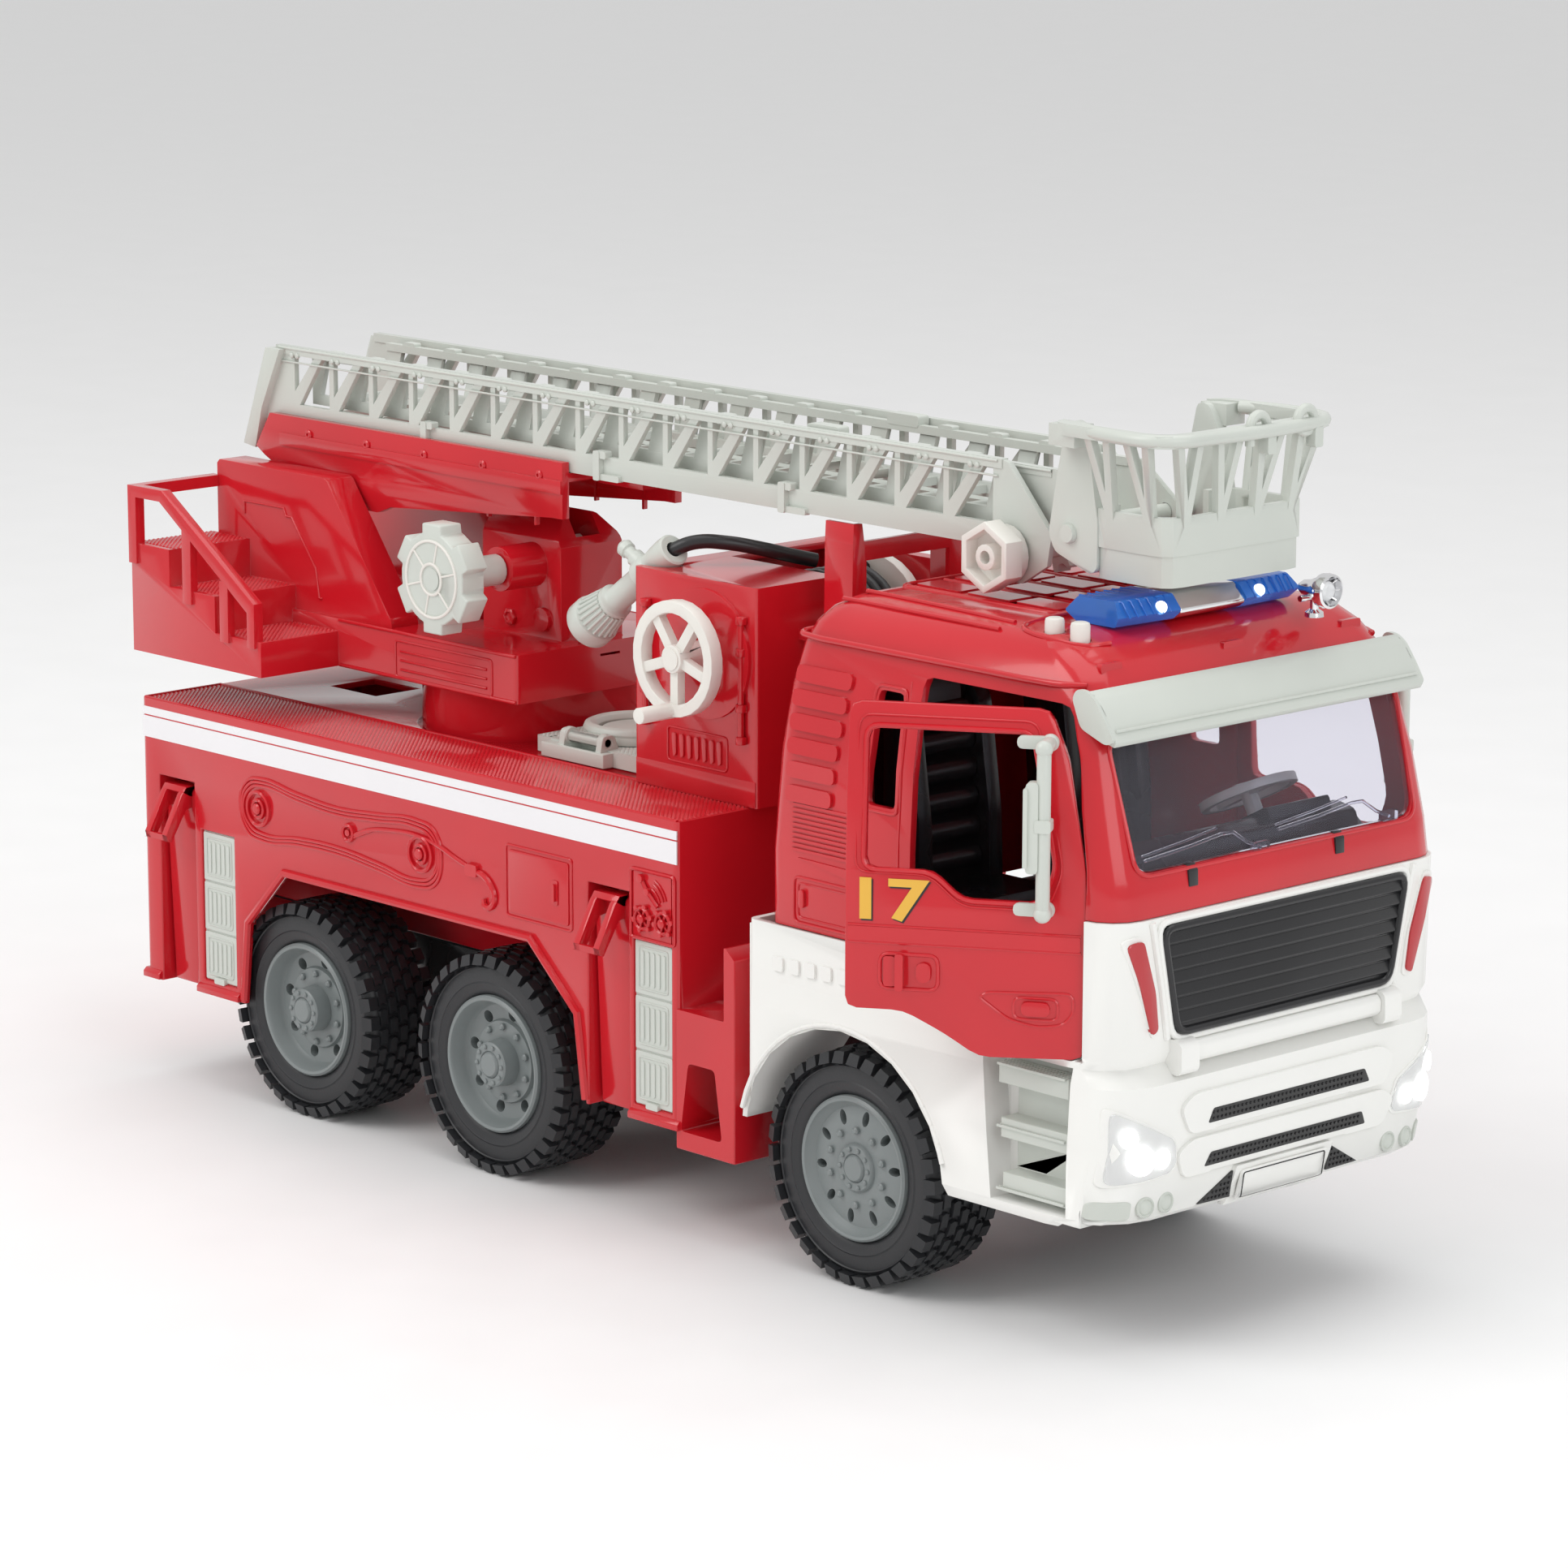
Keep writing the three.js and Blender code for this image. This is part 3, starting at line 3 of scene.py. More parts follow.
import bmesh
import bpy
from mathutils import Matrix, Vector
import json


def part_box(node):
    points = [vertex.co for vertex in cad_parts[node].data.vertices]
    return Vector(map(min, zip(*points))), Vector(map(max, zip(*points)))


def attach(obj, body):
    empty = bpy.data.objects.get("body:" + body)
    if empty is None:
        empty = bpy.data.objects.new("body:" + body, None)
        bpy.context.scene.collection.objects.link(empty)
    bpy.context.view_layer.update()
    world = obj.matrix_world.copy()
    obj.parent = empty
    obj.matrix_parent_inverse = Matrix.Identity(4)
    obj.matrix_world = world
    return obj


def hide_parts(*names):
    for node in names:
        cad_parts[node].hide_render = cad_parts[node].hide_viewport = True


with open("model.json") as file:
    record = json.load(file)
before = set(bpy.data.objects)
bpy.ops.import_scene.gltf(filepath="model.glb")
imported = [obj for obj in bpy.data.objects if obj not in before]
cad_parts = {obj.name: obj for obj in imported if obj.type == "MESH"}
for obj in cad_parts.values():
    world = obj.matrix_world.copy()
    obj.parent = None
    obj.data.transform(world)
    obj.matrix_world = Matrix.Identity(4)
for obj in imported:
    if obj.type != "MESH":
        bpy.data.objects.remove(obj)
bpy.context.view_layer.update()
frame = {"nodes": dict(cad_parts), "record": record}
scene = bpy.context.scene
frontAxleAhead = 0.1443  # from the truck's own centre line to the front axle
axleLow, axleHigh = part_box("front_axle")
truckOrigin = Vector(((axleLow.x + axleHigh.x) / 2 - frontAxleAhead, (axleLow.y + axleHigh.y) / 2, 0))
toRow = Matrix.Translation(truckOrigin) @ Matrix.Scale(0.001, 4)
print("frame loaded, truck origin", tuple(round(v, 5) for v in truckOrigin))


# making and placing meshes, in millimetres from the truck's own origin

def softenEdges(bm, width, segments=2, angle=30.0):
    sharp = [
        edge for edge in bm.edges
        if len(edge.link_faces) == 2
        and edge.calc_face_angle(0.0) > math.radians(angle)
        and all(near.calc_length() > 2.2 * width for vert in edge.verts for near in vert.link_edges)
    ]
    if sharp:
        bmesh.ops.bevel(bm, geom=sharp, offset=width, affect="EDGES", segments=segments,
                        profile=0.5, material=-1, clamp_overlap=True)


def makePiece(name, bm, body, finish, soften=0.0, segments=2, turn=None, sharpAngle=35.0):
    bmesh.ops.remove_doubles(bm, verts=bm.verts, dist=0.001)
    bmesh.ops.dissolve_degenerate(bm, edges=bm.edges, dist=0.0005)
    bmesh.ops.recalc_face_normals(bm, faces=bm.faces)
    if soften:
        softenEdges(bm, soften, segments)
    if turn is not None:
        bmesh.ops.transform(bm, matrix=turn, verts=bm.verts)
    bmesh.ops.transform(bm, matrix=toRow, verts=bm.verts)
    mesh = bpy.data.meshes.new(name)
    bm.to_mesh(mesh)
    bm.free()
    mesh.shade_smooth()
    mesh.set_sharp_from_angle(angle=math.radians(sharpAngle))
    mesh.materials.append(finish)
    piece = bpy.data.objects.new(name, mesh)
    scene.collection.objects.link(piece)
    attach(piece, body)
    return piece


def polished(node, width, finish, body, segments=2):
    bm = bmesh.new()
    bm.from_mesh(frame["nodes"][node].data)
    bmesh.ops.transform(bm, matrix=toRow.inverted(), verts=bm.verts)
    bmesh.ops.remove_doubles(bm, verts=bm.verts, dist=0.004)
    bmesh.ops.dissolve_limit(bm, angle_limit=math.radians(0.15), verts=bm.verts, edges=bm.edges)
    piece = makePiece(node + "_moulding", bm, body, finish, width, segments)
    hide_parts(node)
    return piece


def addBox(bm, x0, x1, y0, y1, z0, z1):
    made = bmesh.ops.create_cube(bm, size=1.0)["verts"]
    place = Matrix.Translation(((x0 + x1) / 2, (y0 + y1) / 2, (z0 + z1) / 2)) @ Matrix.Diagonal(
        (abs(x1 - x0), abs(y1 - y0), abs(z1 - z0), 1))
    bmesh.ops.transform(bm, matrix=place, verts=made)
    return made


axisPlace = {
    "x": lambda p, t: Vector((t, p[0], p[1])),
    "y": lambda p, t: Vector((p[0], t, p[1])),
    "z": lambda p, t: Vector((p[0], p[1], t)),
}


def addPrism(bm, points, axis, a, b):
    place = axisPlace[axis]
    verts = [bm.verts.new(place(p, a)) for p in points]
    face = bm.faces.new(verts)
    grown = bmesh.ops.extrude_face_region(bm, geom=[face])["geom"]
    lifted = [item for item in grown if isinstance(item, bmesh.types.BMVert)]
    bmesh.ops.translate(bm, vec=place((0, 0), b) - place((0, 0), a), verts=lifted)
    return verts + lifted


def vertsSince(bm, before):
    return [vert for vert in bm.verts if vert not in before]


# profile holds (radius, distance along the axis); it is spun all the way round
def addTurned(bm, profile, axis, centre, steps=48):
    lines = {"x": lambda r, t: Vector((t, r, 0)), "y": lambda r, t: Vector((r, t, 0)), "z": lambda r,
        t: Vector((r, 0, t))}
    verts = [bm.verts.new(lines[axis](r, t)) for r, t in profile]
    edges = [bm.edges.new(pair) for pair in zip(verts, verts[1:])]
    way = {"x": (1, 0, 0), "y": (0, 1, 0), "z": (0, 0, 1)}[axis]
    before = set(bm.verts) - set(verts)
    bmesh.ops.spin(bm, geom=verts + edges, cent=(0, 0, 0), axis=way, angle=2 * math.pi, steps=steps,
        use_merge=True)
    made = vertsSince(bm, before)
    poles = [vert for vert in made if vert.co.cross(Vector(way)).length < 1e-5]
    bmesh.ops.remove_doubles(bm, verts=poles, dist=0.001)
    made = vertsSince(bm, before)
    bmesh.ops.translate(bm, vec=centre, verts=made)
    return made


# adds what a curve looks like, then drops the curve
def addCurve(bm, curve):
    holder = bpy.data.objects.new("guide", curve)
    mesh = bpy.data.meshes.new_from_object(holder)
    before = set(bm.verts)
    bm.from_mesh(mesh)
    bpy.data.objects.remove(holder)
    bpy.data.curves.remove(curve)
    bpy.data.meshes.remove(mesh)
    return vertsSince(bm, before)


def addTube(bm, points, radius, sides=3, smooth=True, closed=False):
    curve = bpy.data.curves.new("guide", "CURVE")
    curve.dimensions = "3D"
    curve.bevel_depth = radius
    curve.bevel_resolution = sides
    curve.use_fill_caps = True
    curve.resolution_u = 6 if smooth else 1
    spline = curve.splines.new("BEZIER" if smooth else "POLY")
    if smooth:
        spline.bezier_points.add(len(points) - 1)
        for knot, point in zip(spline.bezier_points, points):
            knot.co = point
            knot.handle_left_type = knot.handle_right_type = "AUTO"
    else:
        spline.points.add(len(points) - 1)
        for knot, point in zip(spline.points, points):
            knot.co = (*point, 1)
    spline.use_cyclic_u = closed
    before = set(bm.verts)
    bmesh.ops.remove_doubles(bm, verts=addCurve(bm, curve), dist=0.0005)
    return vertsSince(bm, before)


def addLettering(bm, words, height, thick):
    curve = bpy.data.curves.new("words", "FONT")
    curve.body = words
    curve.size = height
    curve.extrude = thick / 2
    curve.offset = height * 0.022
    curve.resolution_u = 4
    return addCurve(bm, curve)


def carved(bmBody, bmCutter, operation="DIFFERENCE"):
    holders = []
    for label, part in (("body", bmBody), ("cutter", bmCutter)):
        bmesh.ops.recalc_face_normals(part, faces=part.faces)
        mesh = bpy.data.meshes.new(label)
        part.to_mesh(mesh)
        part.free()
        holder = bpy.data.objects.new(label, mesh)
        scene.collection.objects.link(holder)
        holders.append(holder)
    cut = holders[0].modifiers.new("cut", "BOOLEAN")
    cut.operation = operation
    cut.object = holders[1]
    cut.solver = "EXACT"
    bpy.context.view_layer.update()
    done = holders[0].evaluated_get(bpy.context.evaluated_depsgraph_get())
    result = bmesh.new()
    result.from_mesh(done.to_mesh())
    done.to_mesh_clear()
    for holder in holders:
        mesh = holder.data
        bpy.data.objects.remove(holder)
        bpy.data.meshes.remove(mesh)
    return result


def roundedOutline(points, radius, steps=4):
    count = len(points)
    outline = []
    for i, point in enumerate(points):
        here = Vector(point)
        before = (Vector(points[i - 1]) - here)
        after = (Vector(points[(i + 1) % count]) - here)
        reach = min(radius, before.length * 0.45, after.length * 0.45)
        start = here + before.normalized() * reach
        end = here + after.normalized() * reach
        for k in range(steps + 1):
            t = k / steps
            outline.append(tuple(start * (1 - t) ** 2 + here * 2 * t * (1 - t) + end * t * t))
    return outline


def rectOutline(a0, a1, b0, b1, radius=1.0, steps=3):
    return roundedOutline([(a0, b0), (a1, b0), (a1, b1), (a0, b1)], radius, steps)


def shrunk(outline, amount):
    middle = sum((Vector(p) for p in outline), Vector((0, 0))) / len(outline)
    wide = max(p[0] for p in outline) - min(p[0] for p in outline)
    tall = max(p[1] for p in outline) - min(p[1] for p in outline)
    return [(middle.x + (p[0] - middle.x) * (1 - 2 * amount / wide),
             middle.y + (p[1] - middle.y) * (1 - 2 * amount / tall)) for p in outline]


# a moulded line that follows an outline lying across one axis
def addBead(bm, outline, axis, level, radius, closed=True):
    place = axisPlace[axis]
    return addTube(bm, [place(p, level) for p in outline], radius, sides=1, smooth=False, closed=closed)


def flipped(verts, axis="y"):
    for vert in verts:
        setattr(vert.co, axis, -getattr(vert.co, axis))


# adds the same shapes on the truck's other side
def bothSides(bm):
    twin = bmesh.ops.duplicate(bm, geom=bm.verts[:] + bm.edges[:] + bm.faces[:])["geom"]
    flipped([item for item in twin if isinstance(item, bmesh.types.BMVert)])
    bmesh.ops.reverse_faces(bm, faces=[item for item in twin if isinstance(item, bmesh.types.BMFace)])


def interpolated(levels, z):
    if z <= levels[0][0]:
        return levels[0][1:]
    for low, high in zip(levels, levels[1:]):
        if z <= high[0]:
            t = (z - low[0]) / (high[0] - low[0])
            return tuple(a + (b - a) * t for a, b in zip(low[1:], high[1:]))
    return levels[-1][1:]


# finishes

def addNode(tree, kind, x, y, **settings):
    node = tree.nodes.new(kind)
    node.location = (x, y)
    for key, value in settings.items():
        setattr(node, key, value)
    return node


def mouldedSkinGroup():
    group = bpy.data.node_groups.new("mouldedSkin", "ShaderNodeTree")
    face = group.interface
    for label, kind, value in (
        ("Tint", "NodeSocketColor", (0.5, 0.5, 0.5, 1)),
        ("Deep tint", "NodeSocketColor", (0.4, 0.4, 0.4, 1)),
        ("Grain scale", "NodeSocketFloat", 900.0), ("Flow scale", "NodeSocketFloat", 22.0),
        ("Smooth", "NodeSocketFloat", 0.15), ("Rough", "NodeSocketFloat", 0.25),
    ):
        face.new_socket(label, in_out="INPUT", socket_type=kind).default_value = value
    for label, kind in (("Colour", "NodeSocketColor"), ("Roughness", "NodeSocketFloat"),
            ("Height", "NodeSocketFloat")):
        face.new_socket(label, in_out="OUTPUT", socket_type=kind)
    ins = addNode(group, "NodeGroupInput", -900, 0)
    outs = addNode(group, "NodeGroupOutput", 500, 0)
    place = addNode(group, "ShaderNodeTexCoord", -900, 300)
    flow = addNode(group, "ShaderNodeTexNoise", -600, 300)
    flow.inputs["Detail"].default_value = 3.0
    grain = addNode(group, "ShaderNodeTexNoise", -600, 0)
    grain.inputs["Detail"].default_value = 2.0
    link = group.links.new
    for noise, label in ((flow, "Flow scale"), (grain, "Grain scale")):
        link(place.outputs["Object"], noise.inputs["Vector"])
        link(ins.outputs[label], noise.inputs["Scale"])
    spread = addNode(group, "ShaderNodeMapRange", -350, 300)
    spread.inputs["From Min"].default_value = 0.2
    spread.inputs["From Max"].default_value = 0.8
    link(flow.outputs["Fac"], spread.inputs["Value"])
    tint = addNode(group, "ShaderNodeMix", -100, 300, data_type="RGBA")
    link(spread.outputs["Result"], tint.inputs["Factor"])
    link(ins.outputs["Deep tint"], tint.inputs[6])
    link(ins.outputs["Tint"], tint.inputs[7])
    link(tint.outputs[2], outs.inputs["Colour"])
    sheen = addNode(group, "ShaderNodeMapRange", -100, 50)
    sheen.inputs["From Min"].default_value = 0.2
    sheen.inputs["From Max"].default_value = 0.8
    link(flow.outputs["Fac"], sheen.inputs["Value"])
    link(ins.outputs["Smooth"], sheen.inputs["To Min"])
    link(ins.outputs["Rough"], sheen.inputs["To Max"])
    link(sheen.outputs["Result"], outs.inputs["Roughness"])
    link(grain.outputs["Fac"], outs.inputs["Height"])
    return group


mouldedSkin = mouldedSkinGroup()


def mouldedFinish(name, tint, deep, smooth, rough, grainScale=900.0, relief=0.04, coat=0.0, **constants):
    material = bpy.data.materials.new(name)
    material.use_nodes = True
    tree = material.node_tree
    shader = tree.nodes["Principled BSDF"]
    skin = addNode(tree, "ShaderNodeGroup", -500, 0, node_tree=mouldedSkin)
    skin.inputs["Tint"].default_value = (*tint, 1)
    skin.inputs["Deep tint"].default_value = (*deep, 1)
    skin.inputs["Grain scale"].default_value = grainScale
    skin.inputs["Smooth"].default_value = smooth
    skin.inputs["Rough"].default_value = rough
    bump = addNode(tree, "ShaderNodeBump", -250, -250)
    bump.inputs["Strength"].default_value = relief
    bump.inputs["Distance"].default_value = 0.0004
    tree.links.new(skin.outputs["Colour"], shader.inputs["Base Color"])
    tree.links.new(skin.outputs["Roughness"], shader.inputs["Roughness"])
    tree.links.new(skin.outputs["Height"], bump.inputs["Height"])
    tree.links.new(bump.outputs["Normal"], shader.inputs["Normal"])
    shader.inputs["Coat Weight"].default_value = coat
    for label, value in constants.items():
        shader.inputs[label].default_value = value
    return material


redGloss = mouldedFinish("redGloss", (0.60, 0.011, 0.020), (0.53, 0.009, 0.017), 0.10, 0.20, coat=0.25)
whiteGloss = mouldedFinish("whiteGloss", (0.86, 0.86, 0.83), (0.835, 0.835, 0.805), 0.27, 0.33)
paleGreen = mouldedFinish("paleGreen", (0.60, 0.63, 0.58), (0.56, 0.59, 0.545), 0.26, 0.40)
ivoryMatt = mouldedFinish("ivoryMatt", (0.79, 0.77, 0.72), (0.75, 0.73, 0.68), 0.28, 0.42)
blackGloss = mouldedFinish("blackGloss", (0.018, 0.018, 0.020), (0.012, 0.012, 0.013), 0.18, 0.32)
hoseBlack = mouldedFinish("hoseBlack", (0.022, 0.022, 0.024), (0.016, 0.016, 0.017), 0.25, 0.38)
tyreRubber = mouldedFinish("tyreRubber", (0.022, 0.023, 0.026), (0.016, 0.017, 0.019), 0.36, 0.50,
    relief=0.12)
rimGrey = mouldedFinish("rimGrey", (0.22, 0.245, 0.245), (0.19, 0.212, 0.212), 0.30, 0.42)
axleSteel = mouldedFinish("axleSteel", (0.55, 0.55, 0.56), (0.48, 0.48, 0.49), 0.25, 0.38, Metallic=1.0)
chromeTrim = mouldedFinish("chromeTrim", (0.86, 0.86, 0.87), (0.80, 0.80, 0.81), 0.06, 0.14, Metallic=1.0)
digitYellow = mouldedFinish("digitYellow", (0.80, 0.46, 0.06), (0.74, 0.41, 0.05), 0.30, 0.40)
stripeWhite = mouldedFinish("stripeWhite", (0.84, 0.83, 0.85), (0.81, 0.80, 0.82), 0.20, 0.30)
reflectorRed = mouldedFinish("reflectorRed", (0.50, 0.012, 0.020), (0.42, 0.010, 0.016), 0.08, 0.16,
    coat=0.6)
meshDark = mouldedFinish("meshDark", (0.045, 0.045, 0.045), (0.03, 0.03, 0.03), 0.45, 0.6)


def clearFinish(name, tint, rough, transmission, ior=1.45, glow=None, glowStrength=0.0):
    material = mouldedFinish(name, tint, tint, rough, rough + 0.02, relief=0.01)
    shader = material.node_tree.nodes["Principled BSDF"]
    shader.inputs["Transmission Weight"].default_value = transmission
    shader.inputs["IOR"].default_value = ior
    if glow:
        shader.inputs["Emission Color"].default_value = (*glow, 1)
        shader.inputs["Emission Strength"].default_value = glowStrength
    return material


clearScreen = clearFinish("clearScreen", (0.80, 0.79, 0.88), 0.03, 0.96, ior=1.12)
blueLens = clearFinish("blueLens", (0.04, 0.22, 0.66), 0.08, 0.5, glow=(0.02, 0.12, 0.5), glowStrength=0.12)
lampClear = clearFinish("lampClear", (0.95, 0.96, 0.97), 0.05, 0.6, glow=(1, 1, 1), glowStrength=0.05)
lampGlow = clearFinish("lampGlow", (1, 1, 1), 0.3, 0.0, glow=(1, 1, 1), glowStrength=1.5)
finishOf = {
    "red_plastic": redGloss, "white_plastic": whiteGloss, "pale_plastic": paleGreen,
    "ivory_plastic": ivoryMatt,
    "black_plastic": blackGloss, "hose_black": hoseBlack, "tyre_rubber": tyreRubber, "rim_grey": rimGrey,
    "axle_steel": axleSteel, "chrome_trim": chromeTrim, "clear_plastic": clearScreen, "blue_lens": blueLens,
}
print("finishes made")

# camera, lights and floor

view = {"from": (1547.8, -1427.0, 595.0), "back": (0.7172, -0.6613, 0.2200), "lens": 131.92,
    "shift": (0.0275, 0.0444)}
camera = bpy.data.objects.new("camera", bpy.data.cameras.new("camera"))
scene.collection.objects.link(camera)
camera.location = toRow @ Vector(view["from"])
camera.rotation_mode = "QUATERNION"
camera.rotation_quaternion = (-Vector(view["back"])).to_track_quat("-Z", "Y")
camera.data.lens = view["lens"]
camera.data.sensor_width = 36
camera.data.shift_x, camera.data.shift_y = view["shift"]
camera.data.clip_start, camera.data.clip_end = 0.05, 60
scene.camera = camera
scene.view_settings.view_transform = "Standard"

lamps = {  # place in metres, aimed at the truck, width, power, colour
    "keyLight": ((-0.7, -1.7, 1.9), 1.5, 22, (1.0, 0.985, 0.97)),
    "fillLight": ((2.1, -0.4, 1.0), 1.3, 10, (0.97, 0.985, 1.0)),
    "topLight": ((0.1, 0.3, 2.2), 1.9, 14, (1, 1, 1)),
}
for label, (place, width, power, colour) in lamps.items():
    light = bpy.data.lights.new(label, "AREA")
    light.shape = "SQUARE"
    light.size = width
    light.energy = power
    light.color = colour
    holder = bpy.data.objects.new(label, light)
    scene.collection.objects.link(holder)
    holder.location = place
    holder.rotation_mode = "QUATERNION"
    holder.rotation_quaternion = (Vector((0, 0, 0.12)) - Vector(place)).to_track_quat("-Z", "Y")

world = bpy.data.worlds.new("studio")
scene.world = world
world.use_nodes = True
world.node_tree.nodes["Background"].inputs["Color"].default_value = (1.0, 1.0, 1.0, 1)
world.node_tree.nodes["Background"].inputs["Strength"].default_value = 0.7

floorPatch = bmesh.new()
bmesh.ops.create_circle(floorPatch, cap_ends=True, segments=96, radius=14.0)
floorMesh = bpy.data.meshes.new("floor")
floorPatch.to_mesh(floorMesh)
floorPatch.free()
floor = bpy.data.objects.new("floor", floorMesh)
scene.collection.objects.link(floor)
floorMesh.materials.append(mouldedFinish("paleFloor", (0.90, 0.90, 0.90), (0.885, 0.885, 0.885), 0.55, 0.7,
    grainScale=60.0, relief=0.0))
print("camera, lights and floor set")

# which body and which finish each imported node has

bodyOf = {node: body for body, nodes in frame["record"]["behaviour"]["bodies"].items() for node in nodes}
slotOf = {entry["node"]: entry["material_slot"] for entry in frame["record"]["subparts"]}

# wheels: turned carcass, sculpted tread, dished rims

wheels = {
    "radius": 42.7, "rimRadius": 26.3, "halfWidth": 15.0, "blocks": 34, "columns": 5, "treadDeep": 1.7,
    "handHoles": 10, "holeRing": 18.6, "boltRing": 13.6, "hubRadius": 8.6,
}


# one tyre round the origin, its outer face towards -Y
def tyreShape():
    w, big, half = wheels, wheels["radius"], wheels["halfWidth"]
    core = big - w["treadDeep"]
    bm = bmesh.new()
    profile = [(w["rimRadius"], -half + 2.0), (27.4, -half + 0.9), (28.6, -half + 0.5), (30.2, -half + 0.1),
        (31.0, -half - 0.3),
               (31.6, -half + 0.05), (34.5, -half), (36.6, -half + 0.35), (37.0, -half - 0.05),
               (37.5, -half + 0.45),
               (39.4, -half + 1.3), (core - 0.5, -half + 2.6), (core, -half + 4.2)]
    profile = profile + [(core + 0.25, 0)] + [(r, -t) for r, t in reversed(profile)]
    profile.append(profile[0])
    addTurned(bm, profile, "y", (0, 0, 0), steps=102)
    pitch = 2 * math.pi / w["blocks"]
    wide = 2 * (half - 3.2) / w["columns"]
    long = pitch * big
    stamp = bmesh.new()  # a chevron-sided block with a step in its end
    addPrism(stamp, [(-0.42 * wide, -0.40 * long), (0.0, -0.30 * long), (0.42 * wide, -0.40 * long),
        (0.40 * wide, 0.05 * long),
                     (0.42 * wide, 0.36 * long), (0.0, 0.46 * long), (-0.42 * wide, 0.36 * long),
                     (-0.40 * wide, 0.05 * long)],
             "z", core - 0.6, big)
    for vert in stamp.verts:
        if vert.co.z > core:
            vert.co.x *= 0.86
            vert.co.y *= 0.9
    stampMesh = bpy.data.meshes.new("stamp")
    stamp.to_mesh(stampMesh)
    stamp.clear()
    addPrism(stamp, [(-2.2, -0.36 * long), (2.0, -0.36 * long), (2.0, 0.36 * long), (-2.2, 0.36 * long)],
        "z", core - 2.8, big - 0.5)
    for vert in stamp.verts:  # shoulder lug, leaning over the sidewall
        if vert.co.z < core:
            vert.co.x = vert.co.x - 1.6 if vert.co.x < 0 else vert.co.x
        vert.co.y *= 0.85 if vert.co.z > core else 1.0
    lugMesh = bpy.data.meshes.new("lug")
    stamp.to_mesh(lugMesh)
    stamp.free()
    for turn in range(w["blocks"]):
        for column in range(w["columns"]):
            across = (column - (w["columns"] - 1) / 2) * wide
            angle = (turn + 0.5 * (column % 2)) * pitch
            before = set(bm.verts)
            bm.from_mesh(stampMesh)
            made = vertsSince(bm, before)
            spin = Matrix.Rotation(angle, 4, "Y") @ Matrix.Translation((0, across,
                0)) @ Matrix.Rotation(math.pi / 2, 4, "Z")
            if abs(across) > wide * 1.5:
                spin = spin @ Matrix.Translation((0, 0, -0.35))
            bmesh.ops.transform(bm, matrix=spin, verts=made)
        for side in (-1, 1):
            before = set(bm.verts)
            bm.from_mesh(lugMesh)
            made = vertsSince(bm, before)
            if side > 0:
                bmesh.ops.transform(bm, matrix=Matrix.Rotation(math.pi, 4, "Z"), verts=made)
            lean = Matrix.Translation((0, side * (half - 1.2), 0)) @ Matrix.Rotation(math.pi / 2, 4, "Z")
            bmesh.ops.transform(bm, matrix=Matrix.Rotation((turn + 0.25) * pitch, 4, "Y") @ lean,
                verts=made)
    return bm


def ringOfRods(bm, count, ring, radius, y0, y1, start=0.0, stretch=1.0, steps=12, dome=0.0):
    for k in range(count):
        angle = start + 2 * math.pi * k / count
        profile = [(0, y0), (radius, y0), (radius, y1 + dome), (radius * 0.55, y1), (0, y1)]
        made = addTurned(bm, profile, "y", (0, 0, 0), steps=steps)
        place = Matrix.Rotation(angle, 4, "Y") @ Matrix.Translation((0, 0, ring)) @ Matrix.Diagonal((1, 1,
            stretch, 1))
        bmesh.ops.transform(bm, matrix=place, verts=made)


# one rim, its outer face towards -Y; deep rims have the hub standing out of a dish
def rimShape(deep):
    w, half = wheels, wheels["halfWidth"]
    face = -half + (7.0 if deep else 3.4)
    disc = bmesh.new()
    addTurned(disc, [(26.4, half - 1), (26.4, -half + 1.6), (26.2, -half + 0.2), (25.4, -half - 0.5),
        (24.4, -half - 0.2), (23.8, -half + 0.9),
                     (23.0, face - 1.6), (21.8, face - 0.2), (16.2, face + (0.6 if deep else -0.8)),
                     (15.6, face - 0.9),
                     (9.6, face - 1.3), (9.2, face - 1.1), (4.2, face - 1.1), (4.2, half - 4),
                     (8, half - 3), (22, half - 3),
                     (24.6, half - 1), (26.4, half - 1)], "y", (0, 0, 0), steps=96)
    holes = bmesh.new()
    count = w["handHoles"] if not deep else 8
    ringOfRods(holes, count, w["holeRing"], 2.35 if deep else 1.6, -half - 5, half + 5, start=0.2,
        stretch=1.0 if deep else 1.75, steps=20)
    disc = carved(disc, holes)
    hubOut = face - (8.2 if deep else 2.6)
    addTurned(disc, [(0, face), (w["hubRadius"] + 0.4, face), (w["hubRadius"], hubOut + 0.6),
        (w["hubRadius"] - 0.6, hubOut), (5.4, hubOut),
                     (5.0, hubOut + 0.5), (4.6, hubOut - 0.4), (4.2, hubOut - 0.8), (0, hubOut - 0.9)], "y",
                     (0, 0, 0), steps=64)
    ringOfRods(disc, 10, w["boltRing"], 1.35, face, face - 2.7, dome=0.5)
    ringOfRods(disc, 10, 7.0, 0.9, hubOut + 0.5, hubOut - 0.9, start=0.3, dome=0.3)
    return disc


